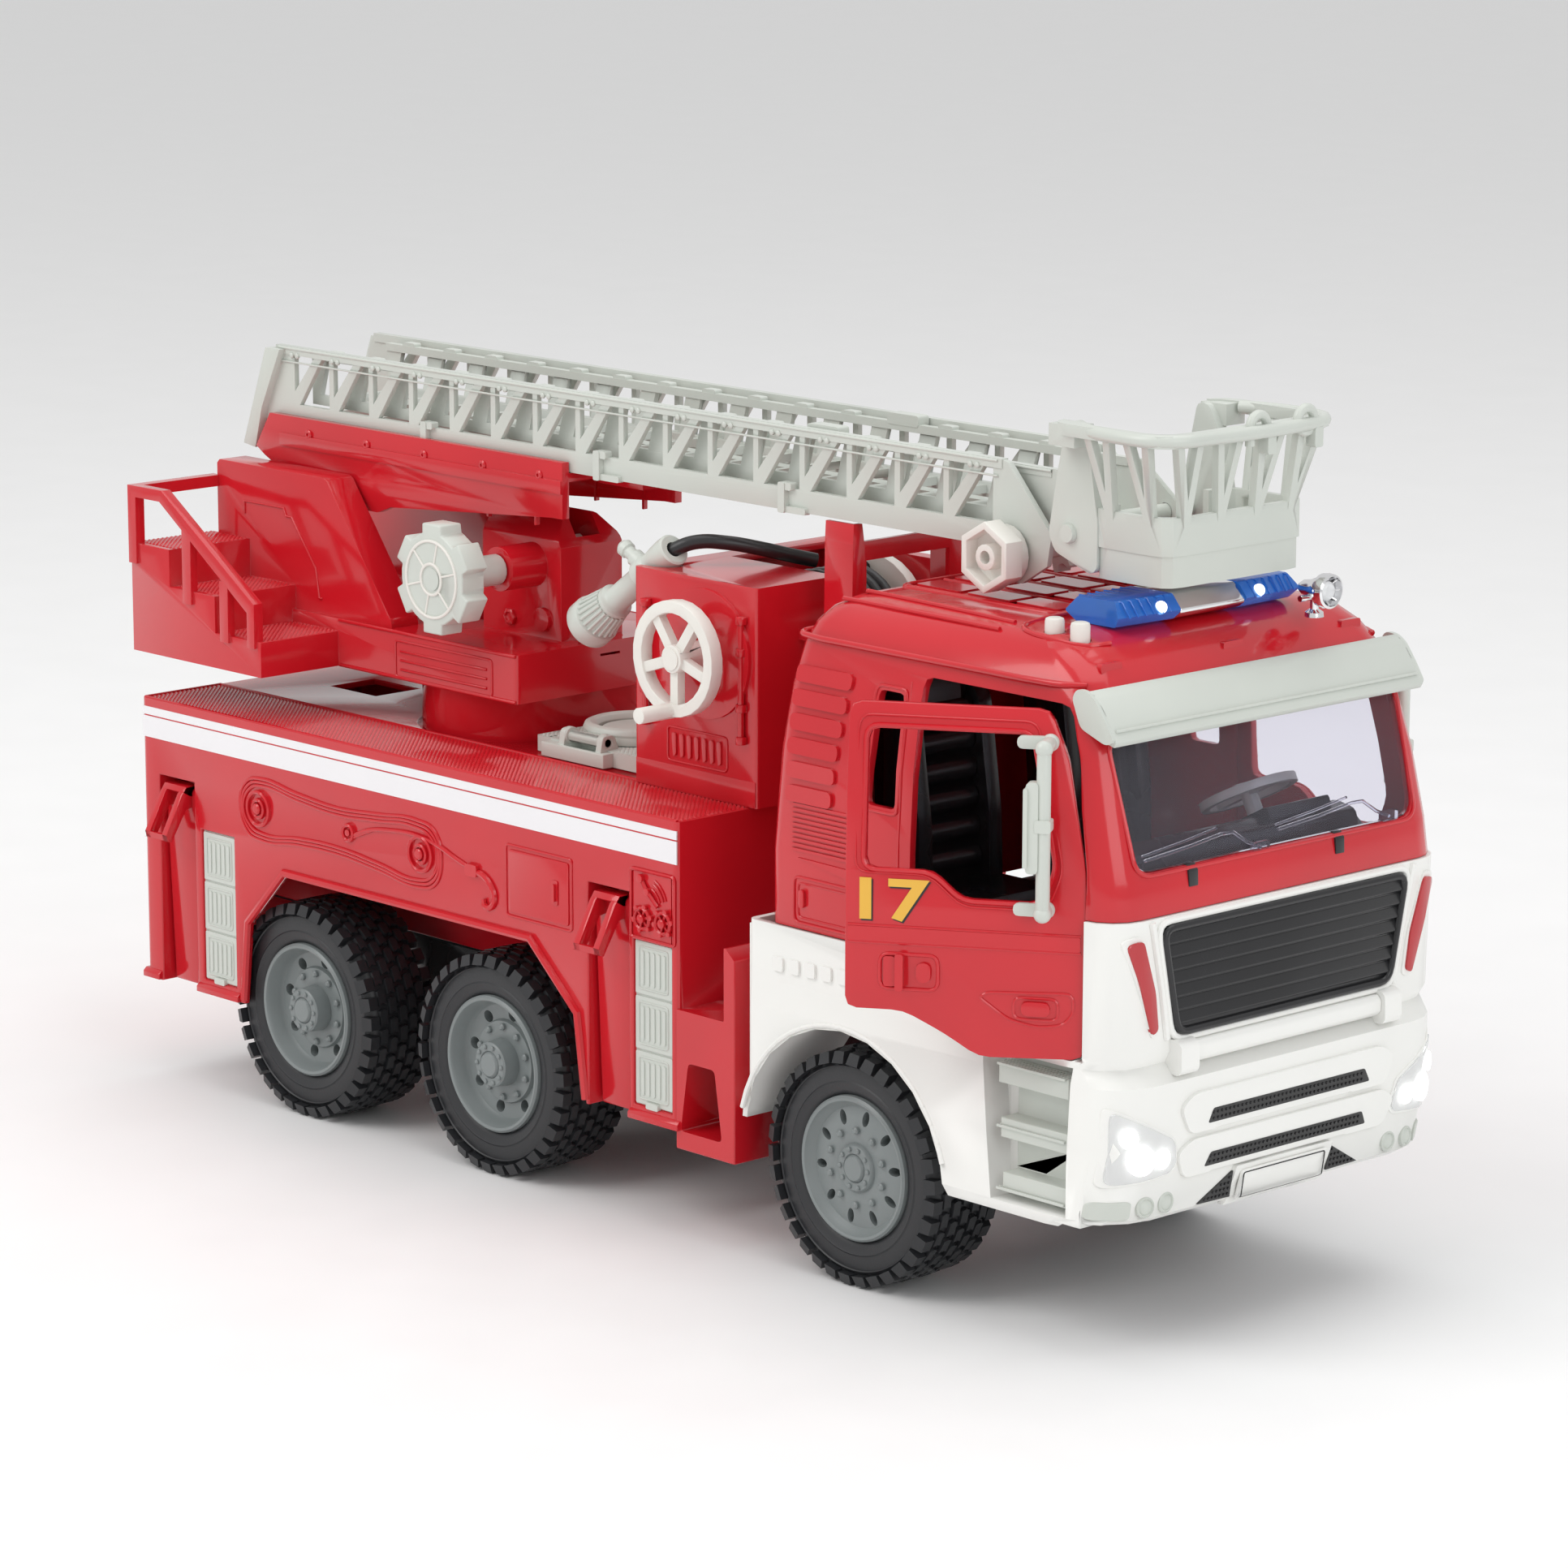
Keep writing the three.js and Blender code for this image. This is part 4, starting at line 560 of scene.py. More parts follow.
rimMeshes = {}
for label, deep in (("front", False), ("middle", True), ("rear", True)):
    if deep and "rear" in rimMeshes:
        continue
    shape = rimShape(deep)
    rimMeshes["rear" if deep else "front"] = bpy.data.meshes.new("rim")
    shape.to_mesh(rimMeshes["rear" if deep else "front"])
    shape.free()
tyreMesh = bpy.data.meshes.new("tyre")
shape = tyreShape()
shape.to_mesh(tyreMesh)
shape.free()
for axle in ("front", "middle", "rear"):
    for side, sign in (("right", -1), ("left", 1)):
        node = f"{axle}_{side}_tyre"
        low, high = (toRow.inverted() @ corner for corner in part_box(node))
        centre = (low + high) / 2
        turn = Matrix.Translation(centre)
        if sign > 0:
            turn = turn @ Matrix.Rotation(math.pi, 4, "Z")
        bm = bmesh.new()
        bm.from_mesh(tyreMesh)
        tyre = makePiece(node + "_tread", bm, bodyOf[node], tyreRubber, turn=turn,
            sharpAngle=30)
        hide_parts(node)
        bm = bmesh.new()
        bm.from_mesh(rimMeshes["front" if axle == "front" else "rear"])
        node = f"{axle}_{side}_rim"
        rim = makePiece(node + "_dish", bm, bodyOf[node], rimGrey, turn=turn, sharpAngle=35)
        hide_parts(node)
print("wheels made")

# rear body: stripes, relief, shutters, control panel, knurled deck

rearSide = {"face": 83.8, "rear": -260.0, "front": 57.8, "deck": 153.9}


def relief(name, bm, slotName="red_plastic", finish=redGloss, soften=0.25, body="vehicle", mirrored=True,
        turn=None):
    if mirrored:
        bothSides(bm)
    return makePiece(name, bm, body, finish, soften=soften, turn=turn)


bm = bmesh.new()
for z0, z1 in ((138.3, 146.8), (147.4, 150.6)):
    addBox(bm, rearSide["rear"] + 0.8, rearSide["front"] - 0.6, -rearSide["face"] - 0.18,
        -rearSide["face"] + 0.3, z0, z1)
relief("side_stripes", bm, "white_plastic", stripeWhite, soften=0.0)

bm = bmesh.new()
archOutline = [(-197, 41.5), (-193.5, 73.5), (-170.4, 97), (-23.6, 97), (2.6, 73.5), (7, 41.5)]
rim = [Vector((x, -rearSide["face"] - 0.1, z)) for x, z in archOutline]
addTube(bm, rim, 1.7, sides=2, smooth=False)
relief("arch_lips", bm, soften=0.0)

bm = bmesh.new()
loop = [(-195, 120), (-190.5, 127.6), (-183, 129.6), (-160, 127.2), (-136, 125.6), (-112, 127.2),
    (-91, 128.6), (-80, 125.6),
        (-76.6, 118.4), (-80, 111), (-89, 108.2), (-112, 110.6), (-136, 112.8), (-160, 112.4),
        (-183, 110.6), (-191, 113)]
for grow in (0.0, 1.7, 3.4):
    ring = [(x + grow * 0.55 * math.copysign(1, x + 136) * min(1, abs(x + 136) / 40),
        z + grow * 0.8 * math.copysign(1, z - 119))
            for x, z in loop]
    addTube(bm, [(x, -rearSide["face"] - 0.1, z) for x, z in ring], 0.75, sides=2, closed=True)
for x, z in ((-185.4, 120.3), (-86.6, 118.6)):
    for r in (6.6, 3.4):
        addTurned(bm, [(r + 0.9, 0.2), (r + 0.7, -1.1), (r, -1.5), (r - 0.7, -1.1), (r - 0.9, 0.2)], "y",
            (x, -rearSide["face"], z), 40)
    addTurned(bm, [(2.2, 0.2), (2.2, -1.6), (1.6, -2.1), (0, -2.2)], "y", (x, -rearSide["face"], z), 32)
addTurned(bm, [(3.9, 0.2), (3.7, -1.2), (3.0, -1.6), (2.3, -1.2), (2.1, 0.2)], "y",
    (-129.7, -rearSide["face"], 119.8), 32)
addTurned(bm, [(1.3, 0.2), (1.3, -1.2), (0, -1.4)], "y", (-129.7, -rearSide["face"], 119.8), 24)
lead = [(-126, 119.6), (-118, 122.6), (-104, 124.8), (-88, 125.4), (-76, 123.4), (-66, 120.2), (-58, 118.0)]
addTube(bm, [(x, -rearSide["face"] - 0.3, z) for x, z in lead], 0.85, sides=2)
addTube(bm, [(-127, -84.1, 118.4), (-121, -84.1, 120.8), (-114, -84.1, 123.6)], 0.7, sides=2)
addPrism(bm, rectOutline(-59.5, -52.8, 115.2, 119.8, 1.2), "y", -rearSide["face"] - 1.6,
    -rearSide["face"] + 0.2)
hook = [(-54.5, 117.0), (-50.5, 116.6), (-45.5, 113.2), (-43.6, 108.6), (-45.8, 105.0), (-49.2, 105.2),
    (-49.8, 107.4)]
addTube(bm, [(x, -rearSide["face"] - 0.4, z) for x, z in hook], 1.25, sides=2)
relief("winch_line_relief", bm, soften=0.0)

bm = bmesh.new()
locker = rectOutline(-37.1, -0.1, 103.7, 130.7, 1.5)
addBead(bm, locker, "y", -rearSide["face"] - 0.1, 0.55)
addPrism(bm, shrunk(locker, 1.6), "y", -rearSide["face"] - 0.5, -rearSide["face"] + 0.2)
addPrism(bm, rectOutline(-10.6, -7.2, 112.2, 121.6, 0.9), "y", -rearSide["face"] - 1.0,
    -rearSide["face"] + 0.2)
addPrism(bm, rectOutline(-9.8, -8.2, 113.6, 120.2, 0.6), "y", -rearSide["face"] - 1.9,
    -rearSide["face"] + 0.2)
relief("locker_relief", bm)

bm = bmesh.new()
addPrism(bm, rectOutline(33.4, 54.0, 107.6, 133.6, 0.6), "y", -rearSide["face"] + 0.05,
    -rearSide["face"] + 5)
panel = rectOutline(32.6, 56.2, 108.0, 133.4, 1.6)
addBead(bm, panel, "y", -rearSide["face"] - 0.2, 0.7)
for x in (39.2, 50.4):
    addTurned(bm, [(4.5, 0.2), (4.5, -1.0), (3.8, -1.7), (3.2, -1.2), (3.0, 0.2)], "y",
        (x, -rearSide["face"], 115.6), 32)
    addTurned(bm, [(1.7, 0.2), (1.7, -1.9), (1.1, -2.4), (0, -2.5)], "y", (x, -rearSide["face"], 115.6), 24)
    for k in range(6):
        angle = math.radians(60 * k + 12)
        spoke = Vector((math.cos(angle), 0, math.sin(angle)))
        hub = Vector((x, -rearSide["face"] - 0.6, 115.6))
        addTube(bm, [hub + spoke * 1.2, hub + spoke * 3.8], 0.55, sides=1, smooth=False)
        addTurned(bm, [(1.0, 0.2), (1.0, -1.3), (0, -1.5)], "y", hub + spoke * 4.6 + Vector((0, 0.6, 0)),
            12)
for r in (7.4, 9.4, 11.0):
    arc = [(41.0 + r * math.cos(math.radians(a)), -rearSide["face"] - 0.15,
        120.4 + r * math.sin(math.radians(a))) for a in range(18, 70, 8)]
    addTube(bm, arc, 0.45, sides=1)
addTube(bm, [(38.6, -84.3, 130.2), (41.8, -84.5, 126.2), (47.4, -84.3, 121.2)], 0.75, sides=2, smooth=False)
addTurned(bm, [(1.6, 0.2), (1.6, -1.6), (0, -1.9)], "y", (38.4, -rearSide["face"], 130.4), 16)
addTurned(bm, [(1.3, 0.2), (1.3, -1.4), (0, -1.6)], "y", (42.0, -rearSide["face"], 126.0), 16)
relief("pump_panel_relief", bm, soften=0.0)

shutters = {"ribs": 5, "slats": 3, "inset": 0.5}
for end, x0, x1, z0, z1 in (("rear", -222.7, -202.3, 45.3, 105.6), ("front", 33.5, 53.9, 45.3, 107.2)):
    for side, sign in (("right", -1), ("left", 1)):
        bm = bmesh.new()
        face = -rearSide["face"] + shutters["inset"]
        addBox(bm, x0, x1, face + 0.9, face + 4.0, z0, z1)
        tall = (z1 - z0) / shutters["slats"]
        for k in range(shutters["slats"]):
            low = z0 + k * tall + 0.45
            slat = rectOutline(x0 + 0.3, x1 - 0.3, low, low + tall - 0.9, 0.8)
            addPrism(bm, slat, "y", face + 0.3, face + 2)
            addBead(bm, shrunk(rectOutline(x0 + 2.4, x1 - 2.4, low + 2.0, low + tall - 2.9, 1.2), 0), "y",
                face + 0.25, 0.35)
            for n in range(shutters["ribs"]):
                x = x0 + 4.4 + n * (x1 - x0 - 8.8) / (shutters["ribs"] - 1)
                addPrism(bm, rectOutline(x - 0.85, x + 0.85, low + 3.4, low + tall - 4.4, 0.8), "y",
                    face - 0.15, face + 1)
        addPrism(bm, rectOutline((x0 + x1) / 2 - 3.2, (x0 + x1) / 2 + 3.2, z0 - 0.6, z0 + 1.9, 0.6), "y",
            face - 1.0, face + 1)
        if sign > 0:
            flipped(bm.verts)
        piece = makePiece(f"{end}_{side}_shutter_slats", bm, "vehicle", paleGreen,
            soften=0.18)
        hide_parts(f"{end}_{side}_shutter")

bm = bmesh.new()
for x0, x1 in ((-261.0, -250.4), (-226.0, -199.4), (31.6, 58.8)):
    addPrism(bm, [(-rearSide["face"] + 4, 39.9), (-rearSide["face"] - 1.7, 39.9),
        (-rearSide["face"] - 1.7, 42.2), (-rearSide["face"] - 0.2, 43.6),
                  (-rearSide["face"] + 4, 43.6)], "x", x0, x1)
relief("sill_lips", bm, soften=0.4)

knurl = {"cell": 1.5, "high": 0.42}


# a field of small pyramids, laid cornerwise and trimmed square
def knurledPatch(bm, x0, x1, y0, y1, z):
    side = (x1 - x0 + y1 - y0) / math.sqrt(2) + 4
    count = int(side / knurl["cell"])
    before = set(bm.verts)
    bmesh.ops.create_grid(bm, x_segments=count, y_segments=count, size=side / 2)
    made = vertsSince(bm, before)
    middle = Matrix.Translation(((x0 + x1) / 2, (y0 + y1) / 2, z)) @ Matrix.Rotation(math.pi / 4, 4, "Z")
    bmesh.ops.transform(bm, matrix=middle, verts=made)
    outside = []
    for face in bm.faces:
        middle = face.calc_center_median()
        if not (x0 < middle.x < x1 and y0 < middle.y < y1):
            outside.append(face)
    bmesh.ops.delete(bm, geom=outside, context="FACES")
    bmesh.ops.poke(bm, faces=bm.faces[:], offset=knurl["high"])


bm = bmesh.new()
knurledPatch(bm, rearSide["rear"] + 2.5, rearSide["front"] - 2.0, -81.8, -46, rearSide["deck"] + 0.02)
relief("deck_knurling", bm, soften=0.0)
bm = bmesh.new()
for y0, y1 in ((-82.9, -82.9), (-45.4, -45.4)):
    addTube(bm, [(rearSide["rear"] + 1.4, y0, rearSide["deck"]),
        (rearSide["front"] - 1.4, y0, rearSide["deck"])], 0.7, sides=2, smooth=False)
addTube(bm, [(rearSide["rear"] + 1.4, -82.9, rearSide["deck"]),
    (rearSide["rear"] + 1.4, -45.4, rearSide["deck"])], 0.7, sides=2, smooth=False)
relief("deck_borders", bm, soften=0.0)

bm = bmesh.new()
for centre in (-238.2, 19.85):
    for x in (-5.4, 5.4):
        addPrism(bm, [(-80.2, 121.6), (-84.2, 121.4), (-86.6, 118.6), (-94.6, 103.6), (-94.0, 101.0),
            (-92.2, 100.4), (-91.0, 102.2),
                      (-84.6, 112.6), (-80.2, 113.2)], "x", centre + x - 1.5, centre + x + 1.5)
    addPrism(bm, [(-80.2, 121.8), (-84.4, 121.6), (-85.8, 119.6), (-82.4, 117.6), (-80.2, 117.6)], "x",
        centre - 6.9, centre + 6.9)
    addPrism(bm, [(-93.6, 103.8), (-94.6, 103.6), (-94.0, 101.0), (-92.4, 100.6)], "x", centre - 6.9,
        centre + 6.9)
handles = bm
handleMesh = bpy.data.meshes.new("handles")
handles.to_mesh(handleMesh)
handles.free()
for end, centre in (("rear", -238.2), ("front", 19.85)):
    for side, sign in (("right", -1), ("left", 1)):
        bm = bmesh.new()
        bm.from_mesh(handleMesh)
        away = [vert for vert in bm.verts if abs(vert.co.x - centre) > 20]
        bmesh.ops.delete(bm, geom=away, context="VERTS")
        if sign > 0:
            flipped(bm.verts)
        makePiece(f"{end}_{side}_leg_handle", bm, f"{end}_{side}_leg", redGloss, soften=0.3)
print("rear body dressed")

# hose tower

bm = bmesh.new()
tower = {"face": -48.5, "rods": (2.8, 54.4)}
for x in tower["rods"]:
    addTube(bm, [(x, tower["face"] - 1.5, 178.6), (x, tower["face"] - 1.5, 222.6)], 1.25, sides=3,
        smooth=False)
    for z in (178.6, 190.5, 211.0, 222.6):
        addTurned(bm, [(0, -1.5), (2.1, -1.4), (2.2, 0), (2.1, 1.4), (0, 1.5)], "z",
            (x, tower["face"] - 1.3, z), 20)
        addBox(bm, x - 1.0, x + 1.0, tower["face"] - 1.4, tower["face"] + 0.3, z - 1.1, z + 1.1)
louvre = rectOutline(13.4, 45.6, 165.4, 178.0, 1.8)
addBead(bm, louvre, "y", tower["face"] - 0.1, 0.5)
for n in range(7):
    x = 17.2 + n * 4.05
    addPrism(bm, rectOutline(x - 1.2, x + 1.2, 167.4, 176.0, 1.1), "y", tower["face"] - 0.75,
        tower["face"] + 0.2)
relief("tower_relief", bm, mirrored=False, soften=0.2)
bm = bmesh.new()
towerBands = bmesh.new()
for sign in (-1, 1):
    addBox(towerBands, -4.0, 60.6, sign * 48.4, sign * 48.75, 154.6, 163.8)
relief("tower_base_band", towerBands, mirrored=False, soften=0.15)
bm.free()
print("tower dressed")

# cab sides

cabLevels = [(100, 272.5, 83.8), (153, 272.5, 83.8), (166, 270.5, 83.6), (190, 264.6, 82.4),
    (212, 258.4, 79.4),
             (227, 252.4, 76.0), (234, 247.0, 73.2), (239, 241.0, 69.0), (242, 232.0, 62.0),
             (243, 224.0, 54.0)]


cabRearLevels = [(153, 105, 6), (166, 105.5, 7), (190, 106.5, 8), (212, 108, 9), (227, 110, 10)]


def sideHalf(z):
    return interpolated(cabLevels, z)[1]


# y holds how far a shape stands out of the side wall; it is laid on the wall and round its rear corner
def onCabSide(bm, verts=None):
    for vert in verts or bm.verts:
        rearEdge, corner = interpolated(cabRearLevels, vert.co.z)
        back = max(0.0, min(corner, rearEdge + corner - vert.co.x))
        vert.co.y = -sideHalf(vert.co.z) - vert.co.y + corner - math.sqrt(corner * corner - back * back)


bm = bmesh.new()
for n in range(6):
    z = 216.4 - 8.4 * n
    end = 143.0 - 1.1 * n
    pill = bmesh.new()
    addPrism(pill, rectOutline(114.6, end, z - 2.9, z + 2.9, 2.9, steps=6), "y", -0.3, 1.3)
    onCabSide(pill)
    pillMesh = bpy.data.meshes.new("pill")
    pill.to_mesh(pillMesh)
    pill.free()
    bm.from_mesh(pillMesh)
for n in range(10):
    z = 170.6 - 1.78 * n
    rib = addPrism(bm, rectOutline(117.6, 146.5, z - 0.5, z + 0.5, 0.45, steps=2), "y", -0.3, 0.75)
    onCabSide(bm, rib)
wedge = addPrism(bm, [(121.0, 151.8), (146.0, 151.4), (146.0, 147.8)], "y", -0.3, 0.6)
onCabSide(bm, wedge)
relief("cab_side_louvres", bm, soften=0.45)

bm = bmesh.new()
lowerPanel = rectOutline(118.6, 172.0, 128.4, 144.8, 2.6)
addBead(bm, lowerPanel, "y", -83.9, 0.6)
addBead(bm, rectOutline(120.8, 170.0, 130.4, 142.8, 2.0), "y", -83.85, 0.35)
addPrism(bm, rectOutline(121.8, 124.4, 134.0, 140.6, 1.2), "y", -85.0, -83.6)
dripPath = [(x, -77.0 - 0.25, 229.3) for x in (112, 140, 170, 200, 228)] + [(240, -75.6, 229.3),
    (247.5, -71.4, 229.3)]
addTube(bm, [(112, -58, 229.8), (110.6, -66, 229.6), (112.2, -73.8, 229.4),
    (119, -76.4, 229.3)] + dripPath[1:], 1.15, sides=2)
smallWindow = [(152.6, 174.4), (169.6, 174.4), (169.6, 217.6), (154.4, 217.6)]
frameLine = roundedOutline(smallWindow, 3, 3)
addTube(bm, [(x, -sideHalf(z) - 0.1, z) for x, z in frameLine], 0.7, sides=2, smooth=False, closed=True)
addTube(bm, [(170.6, -sideHalf(z) - 0.05, z) for z in (220.5, 205, 190, 176, 160, 149)], 0.5, sides=1,
    smooth=False)
relief("cab_side_lines", bm, soften=0.2)

# the doors: window bead, creases, handle, digits

door = {"rear": 177.0, "front": 259.0, "hingeX": 257.7, "hingeY": 83.0, "ajar": 33.5, "digitHigh": 14.6,
    "digitWide": 24.0, "digitLow": 149.2}
ajarTurn = (Matrix.Translation((door["hingeX"], -door["hingeY"],
    0)) @ Matrix.Rotation(math.radians(door["ajar"]), 4, "Z")
            @ Matrix.Translation((-door["hingeX"], door["hingeY"], 0)))
rear, fore = door["rear"], door["front"]
doorWindow = [(rear + 7, 167), (rear + 30, 167), (rear + 40, 158), (fore - 16, 158), (fore - 11, 170),
    (fore - 20, 214), (rear + 7, 214)]


def doorShapes():
    shapes = bmesh.new()
    for grow, size in ((-0.9, 0.85), (-3.4, 0.4)):
        line = roundedOutline(shrunk(doorWindow, grow), 4.5, 4)
        addTube(shapes, [(x, -sideHalf(z) - 0.1, z) for x, z in line], size, sides=2, smooth=False,
            closed=True)
    for z, size in ((147.4, 0.5), (141.6, 0.55)):
        addTube(shapes, [(rear + 1, -83.85, z), (fore - 1.4, -83.85, z)], size, sides=1, smooth=False)
    addPrism(shapes, rectOutline(rear + 1.0, fore - 1.6, 142.0, 147.0, 0.6), "y", -84.25, -83.5)
    handle = rectOutline(rear + 12, rear + 32, 126, 138, 3.4, steps=5)
    addBead(shapes, handle, "y", -83.9, 0.75)
    addPrism(shapes, rectOutline(rear + 13.4, rear + 17.2, 126.8, 137.2, 1.0), "y", -84.7, -83.5)
    addPrism(shapes, rectOutline(rear + 17.6, rear + 20.4, 125.6, 138.4, 1.0), "y", -86.4, -83.5)
    addPrism(shapes, rectOutline(rear + 24.4, rear + 29.6, 128.6, 135.4, 2.4), "y", -84.7, -83.5)
    almond = [(fore - 36, 124.8), (fore - 33, 126.6), (fore - 20, 127.0), (fore - 4, 127.6),
        (fore - 3.4, 121.4), (fore - 7, 116.6),
              (fore - 16, 115.4), (fore - 26, 117.6)]
    addBead(shapes, roundedOutline(almond, 3, 3), "y", -83.9, 0.5)
    addBead(shapes, rectOutline(fore - 24, fore - 9, 118.0, 125.4, 2.6), "y", -83.95, 0.5)
    addPrism(shapes, rectOutline(fore - 21.4, fore - 11.6, 119.2, 124.2, 2.3), "y", -85.0, -83.5)
    return shapes


def doorDigits(shift, lift, front, tall):
    shapes = bmesh.new()
    made = addLettering(shapes, "17", tall * 1.38, 0.3)
    xs = [vert.co.x for vert in made]
    ys = [vert.co.y for vert in made]
    stretch = Matrix.Diagonal((door["digitWide"] / (max(xs) - min(xs)), tall / (max(ys) - min(ys)), 1, 1))
    bmesh.ops.transform(shapes, matrix=stretch @ Matrix.Translation((-min(xs), -min(ys), 0)), verts=made)
    stand = Matrix.Translation((rear + 5.0 + shift, -83.72 - front,
        door["digitLow"] + lift)) @ Matrix.Rotation(math.pi / 2, 4, "X")
    bmesh.ops.transform(shapes, matrix=stand, verts=made)
    return shapes


for side, sign in (("right", -1), ("left", 1)):
    turn = ajarTurn if sign < 0 else Matrix.Scale(-1, 4, (0, 1, 0))
    makePiece(f"{side}_door_relief", doorShapes(), f"{side}_door", redGloss, soften=0.3,
        turn=turn)
    for label, finish, slotName, shift, lift, front in (("digits", digitYellow, "ivory_plastic", 0, 0, 0.3),
            ("digit_shadow", blackGloss, "black_plastic", 0.5, -0.6, 0.1)):
        shapes = doorDigits(shift, lift, front, door["digitHigh"])
        if sign > 0:  # read from the other side, so turned instead of mirrored
            turnRound = Matrix.Translation((2 * rear + 37, 0, 0)) @ Matrix.Rotation(math.pi, 4, "Z")
            makePiece(f"left_door_{label}", shapes, "left_door", finish, turn=turnRound)
        else:
            makePiece(f"right_door_{label}", shapes, "right_door", finish, turn=ajarTurn)

mirror = {"x": -12.0, "y": -8.0, "low": 156.0, "high": 212.0, "tube": 2.45}
for side, sign in (("right", -1), ("left", 1)):
    bm = bmesh.new()
    x, y = door["hingeX"] + mirror["x"], -door["hingeY"] + mirror["y"]
    low, high = mirror["low"], mirror["high"]
    addTube(bm, [(x, y, low + 1), (x, y, high - 1)], mirror["tube"], sides=5, smooth=False)
    for z in (low, high):
        inner = -sideHalf(z) - 0.4
        addTube(bm, [(x, inner, z), (x, (inner + y) / 2, z), (x, y - 0.4, z)], 2.5, sides=5, smooth=False)
        for reach in (y, inner):
            bmesh.ops.create_uvsphere(bm, u_segments=20, v_segments=12, radius=3.0,
                matrix=Matrix.Translation((x, reach, z)))
        addPrism(bm, rectOutline(x - 11, x + 2.4, z - 2.2, z + 2.2, 2.0), "y", inner - 1.6, inner + 0.4)
    addPrism(bm, rectOutline(x - 5.6, x - 1.4, 170, 201, 1.6), "y", y - 2.6, y + 1.6)
    addPrism(bm, rectOutline(x - 6.4, x - 4.9, 172, 199, 0.7), "y", y - 3.2, y + 2.2)
    addPrism(bm, rectOutline(x - 2.6, x + 2.9, 184, 188.4, 1.0), "y", y - 2.9, y + 2.9)
    turn = ajarTurn if sign < 0 else Matrix.Scale(-1, 4, (0, 1, 0))
    piece = makePiece(f"{side}_mirror_arm", bm, f"{side}_door", paleGreen, soften=0.25,
        turn=turn)
    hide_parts(f"mirror_{side}")
print("cab sides dressed")

# cab front and bumper

baseLevels = [(44.5, 266.0, 82.6, 24.0), (49, 272.0, 85.0, 22.0), (74, 276.0, 85.6, 20.0),
    (96, 276.0, 85.6, 20.0), (102, 271.0, 85.2, 18.0),
              (106, 272.8, 85.2, 16.0), (153, 273.4, 84.6, 14.0)]
cabFrontLevels = [(153, 272.5, 83.8, 14), (166, 270.5, 83.6, 14), (190, 264.6, 82.4, 13),
    (212, 258.4, 79.4, 12), (227, 252.4, 76.0, 12),
                  (234, 247, 73.2, 13), (239, 241, 69, 14)]


def frontAt(y, z, levels):
    face, half, corner = interpolated(levels, z)
    over = abs(y) - (half - corner)
    return face if over <= 0 else face - corner + math.sqrt(max(0.0, corner * corner - over * over))


# x holds how far a shape stands out of the front; it is bent round the corner
def onFront(bm, levels, step=6.0):
    lowY, highY = min(v.co.y for v in bm.verts), max(v.co.y for v in bm.verts)
    cuts = int((highY - lowY) / step)
    for k in range(1, cuts + 1):
        y = lowY + (highY - lowY) * k / (cuts + 1)
        if abs(y) > 58 or k % 3 == 0:
            bmesh.ops.bisect_plane(bm, geom=bm.verts[:] + bm.edges[:] + bm.faces[:], plane_co=(0, y, 0),
                plane_no=(0, 1, 0))
    for vert in bm.verts:
        vert.co.x += frontAt(vert.co.y, vert.co.z, levels)


def frontPiece(name, outlines, x0, x1, finish, levels=baseLevels, soften=0.3, mirrored=True):
    bm = bmesh.new()
    for outline in outlines:
        addPrism(bm, outline, "x", x0, x1)
    onFront(bm, levels)
    if mirrored:
        bothSides(bm)
    return makePiece(name, bm, "vehicle", finish, soften=soften)


grilleOutline = [(-61.2, 149.0), (-53.5, 112.4), (53.5, 112.4), (61.2, 149.0)]
bm = bmesh.new()
addTube(bm, [(274.3, y, z) for y, z in roundedOutline(grilleOutline, 5, 4)], 1.5, sides=3, smooth=False,
    closed=True)
for n in range(7):
    z = 117.4 + 4.7 * n
    half = 52.5 + (z - 112.4) * 7.7 / 36.6
    addPrism(bm, [(273.9, z - 2.2), (274.9, z - 2.0), (275.2, z - 1.4), (274.3, z + 2.1), (273.9, z + 2.2)],
        "y", -half, half)
makePiece("grille_slats", bm, "vehicle", blackGloss, soften=0.15)
bm = bmesh.new()
addTube(bm, [(273.6, y, z) for y, z in roundedOutline(shrunk(grilleOutline, -2.4), 6, 4)], 1.3, sides=3,
    smooth=False, closed=True)
for sign in (-1, 1):
    line = [(sign * 66.0, 152.0), (sign * 60.5, 128.0), (sign * 57.4, 110.6)]
    addTube(bm, [(frontAt(y, z, baseLevels) + 0.2, y, z) for y, z in line], 1.3, sides=2, smooth=False)
makePiece("grille_surround", bm, "vehicle", whiteGloss)

marker = roundedOutline([(-77.0, 145.6), (-71.0, 147.0), (-64.6, 128.0), (-62.8, 114.6), (-65.8, 113.2),
    (-71.4, 130.0)], 2.2, 3)
frontPiece("marker_lamps", [marker], -0.5, 1.5, reflectorRed)
frontPiece("marker_frames", [shrunk(marker, -1.6)], -0.5, 0.7, whiteGloss)

bm = bmesh.new()
bar = [(271.0, 101.6), (275.6, 101.2), (277.2, 103.0), (277.2, 106.8), (275.6, 108.8), (271.0, 108.6)]
addPrism(bm, bar, "y", -47, 47)
for y in (-51.5, 51.5):
    addPrism(bm, roundedOutline([(270.0, 98.6), (277.2, 98.0), (278.8, 100.0), (278.6, 108.4),
        (276.0, 110.2), (270.0, 110.0)], 1.6, 3), "y", y - 4.4, y + 4.4)
makePiece("step_bar", bm, "vehicle", whiteGloss, soften=0.6)

